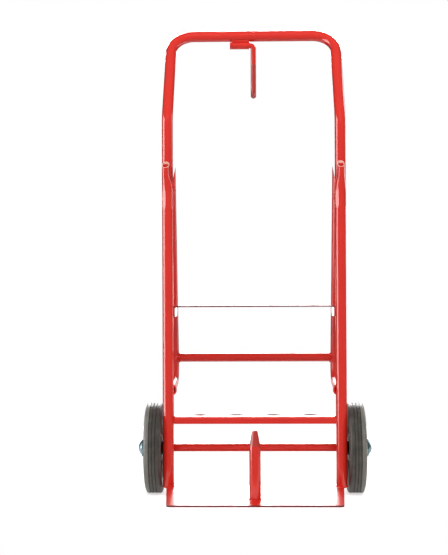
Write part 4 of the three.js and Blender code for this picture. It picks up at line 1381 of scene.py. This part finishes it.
def on_circle(radius, a):
    return radius * math.cos(a), radius * math.sin(a)


def weld_piece(name, beads):
    frame_piece(name, skin(name, beads))


# %% Welds of handle, uprights and bows
VALLEY = 6.4
VALLEY_X = 194.05
VALLEY_Y = 12.6
WELD_BOTTOM = 646
SEAM_TOP = 694
BOW_SEAM_TOP = 731

for word, side in SIDES:
    beads = []
    for hand in (-1, 1):
        x = side * VALLEY_X + hand * VALLEY
        ends = [Vector((x, VALLEY_Y, z)) for z in (WELD_BOTTOM, SEAM_TOP)]
        beads.append(bead(ends, "seam"))
    for hand in (-1, 1):
        valley = []
        for z in range(WELD_BOTTOM, BOW_SEAM_TOP, 3):
            leg = Vector((side * HANDLE_X, HANDLE_LEG_Y, z))
            apart = Vector((side * BOW_X, bow_y(z), z)) - leg
            half = math.sqrt(max(HANDLE_RADIUS**2 - (apart.length / 2) ** 2, 0))
            cross = Vector((-apart.y, apart.x, 0)).normalized()
            valley.append(leg + apart / 2 + cross * hand * half)
        beads.append(bead(valley, "valley"))

    def foot_ring(a):
        across, up = on_circle(BOW_RADIUS, a)
        y = notch_y(BOW_X + across)
        return Vector((side * (BOW_X + across), y + STAND_OFF, BOW_FOOT_Z + y * BOW_FOOT_RISE + up))

    beads.append(round_bead(foot_ring, "bow foot"))
    weld_piece("joint_welds_" + word, beads)

# %% Welds of the plates
SHELF_SEAM_YS = (1, 8)
SHELF_SEAM_ZS = (SHELF_TOP + 0.2, SHELF_TOP - SHEET - 0.2)
LIP_SEAM_Y = -1.6
LIP_SEAM_ZS = (SHELF_TOP - SHELF_LIP + 2, SHELF_TOP - 3)
# Each seam of a flange: how far back it lies, and how far outward.
FLANGE_SEAMS = ((-2.0, 0), (8.0, 1.4))
FLANGE_SEAM_ZS = (PLATE_TOP - 22, PLATE_TOP - 3)
TUBE_REAR_LIMIT = 11.5
TOE_STAND_OFF = 0.4

for word, side in SIDES:
    edge_x = side * PLATE_HALF_WIDTH
    beads = [
        bead([Vector((edge_x, y, z)) for y in SHELF_SEAM_YS], "shelf") for z in SHELF_SEAM_ZS
    ]
    beads.append(bead([Vector((edge_x, LIP_SEAM_Y, z)) for z in LIP_SEAM_ZS], "lip"))
    for y, reach in FLANGE_SEAMS:
        line = [Vector((edge_x + side * reach, y, z)) for z in FLANGE_SEAM_ZS]
        beads.append(bead(line, "flange"))
    weld_piece("plate_welds_" + word, beads)


def on_toe_plate(middle_x, middle_y, radius, rear_limit):
    """A bead on the toe plate round an upright bar or tube."""

    def place_at(a):
        across, back = on_circle(radius, a)
        y = middle_y + min(back, rear_limit)
        return Vector((middle_x + across, y, toe_top(middle_y + back) + TOE_STAND_OFF))

    return round_bead(place_at, "toe plate")


beads = [on_toe_plate(0, SPIGOT_Y, SPIGOT_RADIUS, SPIGOT_RADIUS)]
for word, side in SIDES:
    beads.append(on_toe_plate(side * UPRIGHT_X, 0, UPRIGHT_RADIUS, TUBE_REAR_LIMIT))
weld_piece("toe_plate_welds", beads)

# %% Welds of brackets, axle, cross tube and sleeve
# The seam on each face of a bracket: its distance outward and back.
BRACKET_SEAMS = ((BRACKET_INNER_X - 1, 12.6), (BRACKET_INNER_X + BRACKET_THICKNESS + 0.8, 11.2))
BRACKET_SEAM_ZS = (AXLE_Z - BRACKET_HALF_HEIGHT + 2, AXLE_Z + BRACKET_HALF_HEIGHT - 2)
AXLE_BEAD_X = BRACKET_INNER_X - 0.4
CROSS_BEAD_IN = 0.8
SLEEVE_BEAD_Y = 5.2
SLEEVE_BEAD_ENDS = (SLEEVE_ENDS[0] + 0.5, SLEEVE_ENDS[1] - 0.5)

for word, side in SIDES:
    beads = [
        bead([Vector((side * x, y, z)) for z in BRACKET_SEAM_ZS], "bracket") for x, y in BRACKET_SEAMS
    ]

    def axle_ring(a):
        return on_axle(side * AXLE_BEAD_X) + Vector((0, *on_circle(AXLE_RADIUS + STAND_OFF, a)))

    def cross_ring(a):
        p = Vector((0, cross_y, CROSS_TUBE_Z)) + Vector((0, *on_circle(CROSS_TUBE_RADIUS, a)))
        return Vector((side * (bow_notch_x(p) - CROSS_BEAD_IN), p.y, p.z))

    beads.append(round_bead(axle_ring, "axle"))
    beads.append(round_bead(cross_ring, "cross tube"))
    weld_piece("axle_welds_" + word, beads)

contact_z = HANDLE_BAR_Z - HANDLE_RADIUS
beads = []
for hand in (-1, 1):
    y = HANDLE_BAR_Y + hand * SLEEVE_BEAD_Y
    beads.append(bead([Vector((x, y, contact_z)) for x in SLEEVE_BEAD_ENDS], "sleeve"))
weld_piece("sleeve_welds", beads)

# %% [markdown]
# ## Floor and light
# The photograph was taken on a white sweep. Each upright shows a pale line near its left side, for a
# tall softbox straight to the left, and only the left upright shows one at its right edge, which
# takes a narrow lamp that stands near the trolley on the right. The level tubes show neither.

# %% Floor
FLOOR_WHITE = "#F4F4F2"
FLOOR_FRONT = -320
FLOOR_REAR = 1400
FLOOR_HALF = 1500
PAPER_FIBRE = 6
FLOOR_GLOW = 0.6


def background_ray(tree):
    """1 for a ray from the camera, or one that a mirror or glass passes on, and 0 for the others."""
    path = add_node(tree, "ShaderNodeLightPath")
    mirrored = add_node(
        tree, "ShaderNodeMath", {"operation": "MAXIMUM"},
        {0: path.outputs["Is Glossy Ray"], 1: path.outputs["Is Transmission Ray"]},
    ).outputs[0]
    return add_node(
        tree, "ShaderNodeMath", {"operation": "MAXIMUM"},
        {0: path.outputs["Is Camera Ray"], 1: mirrored},
    ).outputs[0]


sweep_paper, tree = new_material("White sweep paper")
place = add_node(tree, "ShaderNodeTexCoord").outputs["Object"]
fibres = add_node(
    tree, "ShaderNodeTexNoise", None,
    {"Vector": place, "Scale": per_metre(PAPER_FIBRE), "Detail": 4.0},
).outputs["Fac"]
paper_bump = add_node(
    tree, "ShaderNodeBump", None, {"Height": fibres, "Strength": 0.05, "Distance": 0.05 * MM},
).outputs["Normal"]
paper = add_node(
    tree, "ShaderNodeBsdfDiffuse", None, {"Color": linear(FLOOR_WHITE), "Normal": paper_bump},
)
glow = add_node(tree, "ShaderNodeEmission", None, {"Strength": FLOOR_GLOW})
lit = add_node(tree, "ShaderNodeAddShader", None, {0: paper.outputs[0], 1: glow.outputs[0]})
shown = add_node(
    tree, "ShaderNodeMixShader", None,
    {0: background_ray(tree), 1: paper.outputs[0], 2: lit.outputs[0]},
)
add_node(tree, "ShaderNodeOutputMaterial", None, {"Surface": shown.outputs[0]})

work = bmesh.new()
corners = [
    (-FLOOR_HALF, FLOOR_FRONT), (FLOOR_HALF, FLOOR_FRONT),
    (FLOOR_HALF, FLOOR_REAR), (-FLOOR_HALF, FLOOR_REAR),
]
work.faces.new([work.verts.new(Vector((x, y, 0)) * MM) for x, y in corners])
floor_mesh = bpy.data.meshes.new("sweep")
work.to_mesh(floor_mesh)
work.free()
floor_mesh.materials.append(sweep_paper)
sweep = put_in_scene("sweep", floor_mesh)
print("floor from", FLOOR_FRONT, "to", FLOOR_REAR, "mm")


# %% Helper for softboxes
def softbox(name, place, aim, size, radiance, diffuse, glossy):
    """A rectangular lamp whose face has the given radiance, where 1 would look white."""
    lamp = bpy.data.lights.new(name, "AREA")
    lamp.shape = "RECTANGLE"
    lamp.size = size[0] * MM
    lamp.size_y = size[1] * MM
    lamp.energy = radiance * math.pi * lamp.size * lamp.size_y
    box_lamp = put_in_scene(name, lamp)
    box_lamp.location = Vector(place) * MM
    toward = Vector(aim) * MM - box_lamp.location
    box_lamp.rotation_euler = toward.to_track_quat("-Z", "Y").to_euler()
    box_lamp.visible_camera = False
    box_lamp.visible_diffuse = diffuse
    box_lamp.visible_glossy = glossy
    print(name, round(toward.length, 2), "m away")


# %% [markdown]
# The two side lamps are only as strong as the lines they draw, so they work on the gloss alone.

# %% Side softboxes
LEFT_PLACE = (-2167, -382, 850)
LEFT_SIZE = (1430, 2200)
LEFT_RADIANCE = 8.5
RIGHT_PLACE = (520, 389, 620)
RIGHT_SIZE = (240, 1100)
RIGHT_RADIANCE = 3.6

softbox("left_softbox", LEFT_PLACE, (0, 0, LEFT_PLACE[2]), LEFT_SIZE, LEFT_RADIANCE, False, True)
right_aim = (-UPRIGHT_X, 0, RIGHT_PLACE[2])
softbox("right_softbox", RIGHT_PLACE, right_aim, RIGHT_SIZE, RIGHT_RADIANCE, False, True)

# %% [markdown]
# Behind the trolley stand two bright screens. Level sheet is seen at a grazing angle from the camera
# and mirrors them, so that it looks almost white, as in the photograph. The sloping toe plate mirrors
# the high screen. That one is large and far away, because from there it stands too high for any tube
# to mirror it. The shelf mirrors the low one. A softer lamp lights the trolley's back.

# %% Rear screens
REAR_LAMPS = {
    # name: distance behind, height of its middle, width and height, radiance, diffuse or glossy
    "high_screen": (12000, 5300, (7300, 2900), 30.0, False),
    "low_screen": (2900, 450, (1500, 320), 3.0, False),
    "rear_softbox": (2900, 950, (1800, 1800), 3.6, True),
}

for name, (behind, z, size, radiance, diffuse) in REAR_LAMPS.items():
    softbox(name, (0, behind, z), (0, 0, z / 2), size, radiance, diffuse, not diffuse)

# %% [markdown]
# A large soft key light stands high above the camera. It is brightest on the leaning part of the
# handle, which faces it, and leaves the sides of the tubes darker. In the photograph the gloss shows
# no such lamp, so it is kept out of the reflections.

# %% Key light
KEY_PLACE = (0, -2450, 2760)
KEY_AIM = (0, 0, 550)
KEY_SIZE = (1800, 1800)
KEY_RADIANCE = 7.4

softbox("key_softbox", KEY_PLACE, KEY_AIM, KEY_SIZE, KEY_RADIANCE, True, False)

# %% Room
ROOM_FRONT = 0.62
ROOM_REAR = 0.34
# Brightness seen in a reflection, by how far the direction points to the rear: -1 is straight at the
# camera and 1 is straight at the white background.
ROOM_TONES = (
    (-1.0, 0.36), (-0.5, 0.36), (0.0, 0.35), (0.35, 0.2), (0.6, 0.08), (0.965, 0.08), (0.99, 1.0),
)

world = bpy.data.worlds.new("studio")
bpy.context.scene.world = world
world.use_nodes = True
tree = world.node_tree
tree.nodes.clear()
direction = add_node(tree, "ShaderNodeTexCoord").outputs["Generated"]
rearward = add_node(tree, "ShaderNodeSeparateXYZ", None, {0: direction}).outputs["Y"]
diffuse_level = add_node(
    tree, "ShaderNodeMapRange", None,
    {
        "Value": rearward, "From Min": -1.0, "From Max": 1.0,
        "To Min": ROOM_FRONT, "To Max": ROOM_REAR,
    },
).outputs["Result"]
share = add_node(
    tree, "ShaderNodeMapRange", None, {"Value": rearward, "From Min": -1.0, "From Max": 1.0},
).outputs["Result"]
tones = add_node(tree, "ShaderNodeValToRGB", None, {"Fac": share})
ramp = tones.color_ramp
while len(ramp.elements) < len(ROOM_TONES):
    ramp.elements.new(0.5)
for element, (place_on_ramp, tone) in zip(ramp.elements, ROOM_TONES):
    element.position = (place_on_ramp + 1) / 2
    element.color = (tone, tone, tone, 1)
path = add_node(tree, "ShaderNodeLightPath")
lit_level = add_node(
    tree, "ShaderNodeMix", {"data_type": "FLOAT"},
    {0: path.outputs["Is Glossy Ray"], 2: diffuse_level, 3: tones.outputs["Color"]},
).outputs[0]
plain = add_node(
    tree, "ShaderNodeMath", {"operation": "MAXIMUM"},
    {0: path.outputs["Is Camera Ray"], 1: path.outputs["Is Transmission Ray"]},
).outputs[0]
level = add_node(
    tree, "ShaderNodeMix", {"data_type": "FLOAT"}, {0: plain, 2: lit_level, 3: 1.0},
).outputs[0]
background = add_node(
    tree, "ShaderNodeBackground", None, {"Color": linear("#FFFFFF"), "Strength": level},
)
add_node(tree, "ShaderNodeOutputWorld", None, {"Surface": background.outputs[0]})
bpy.context.scene.view_settings.view_transform = "Standard"
print("room with", len(ROOM_TONES), "tones")
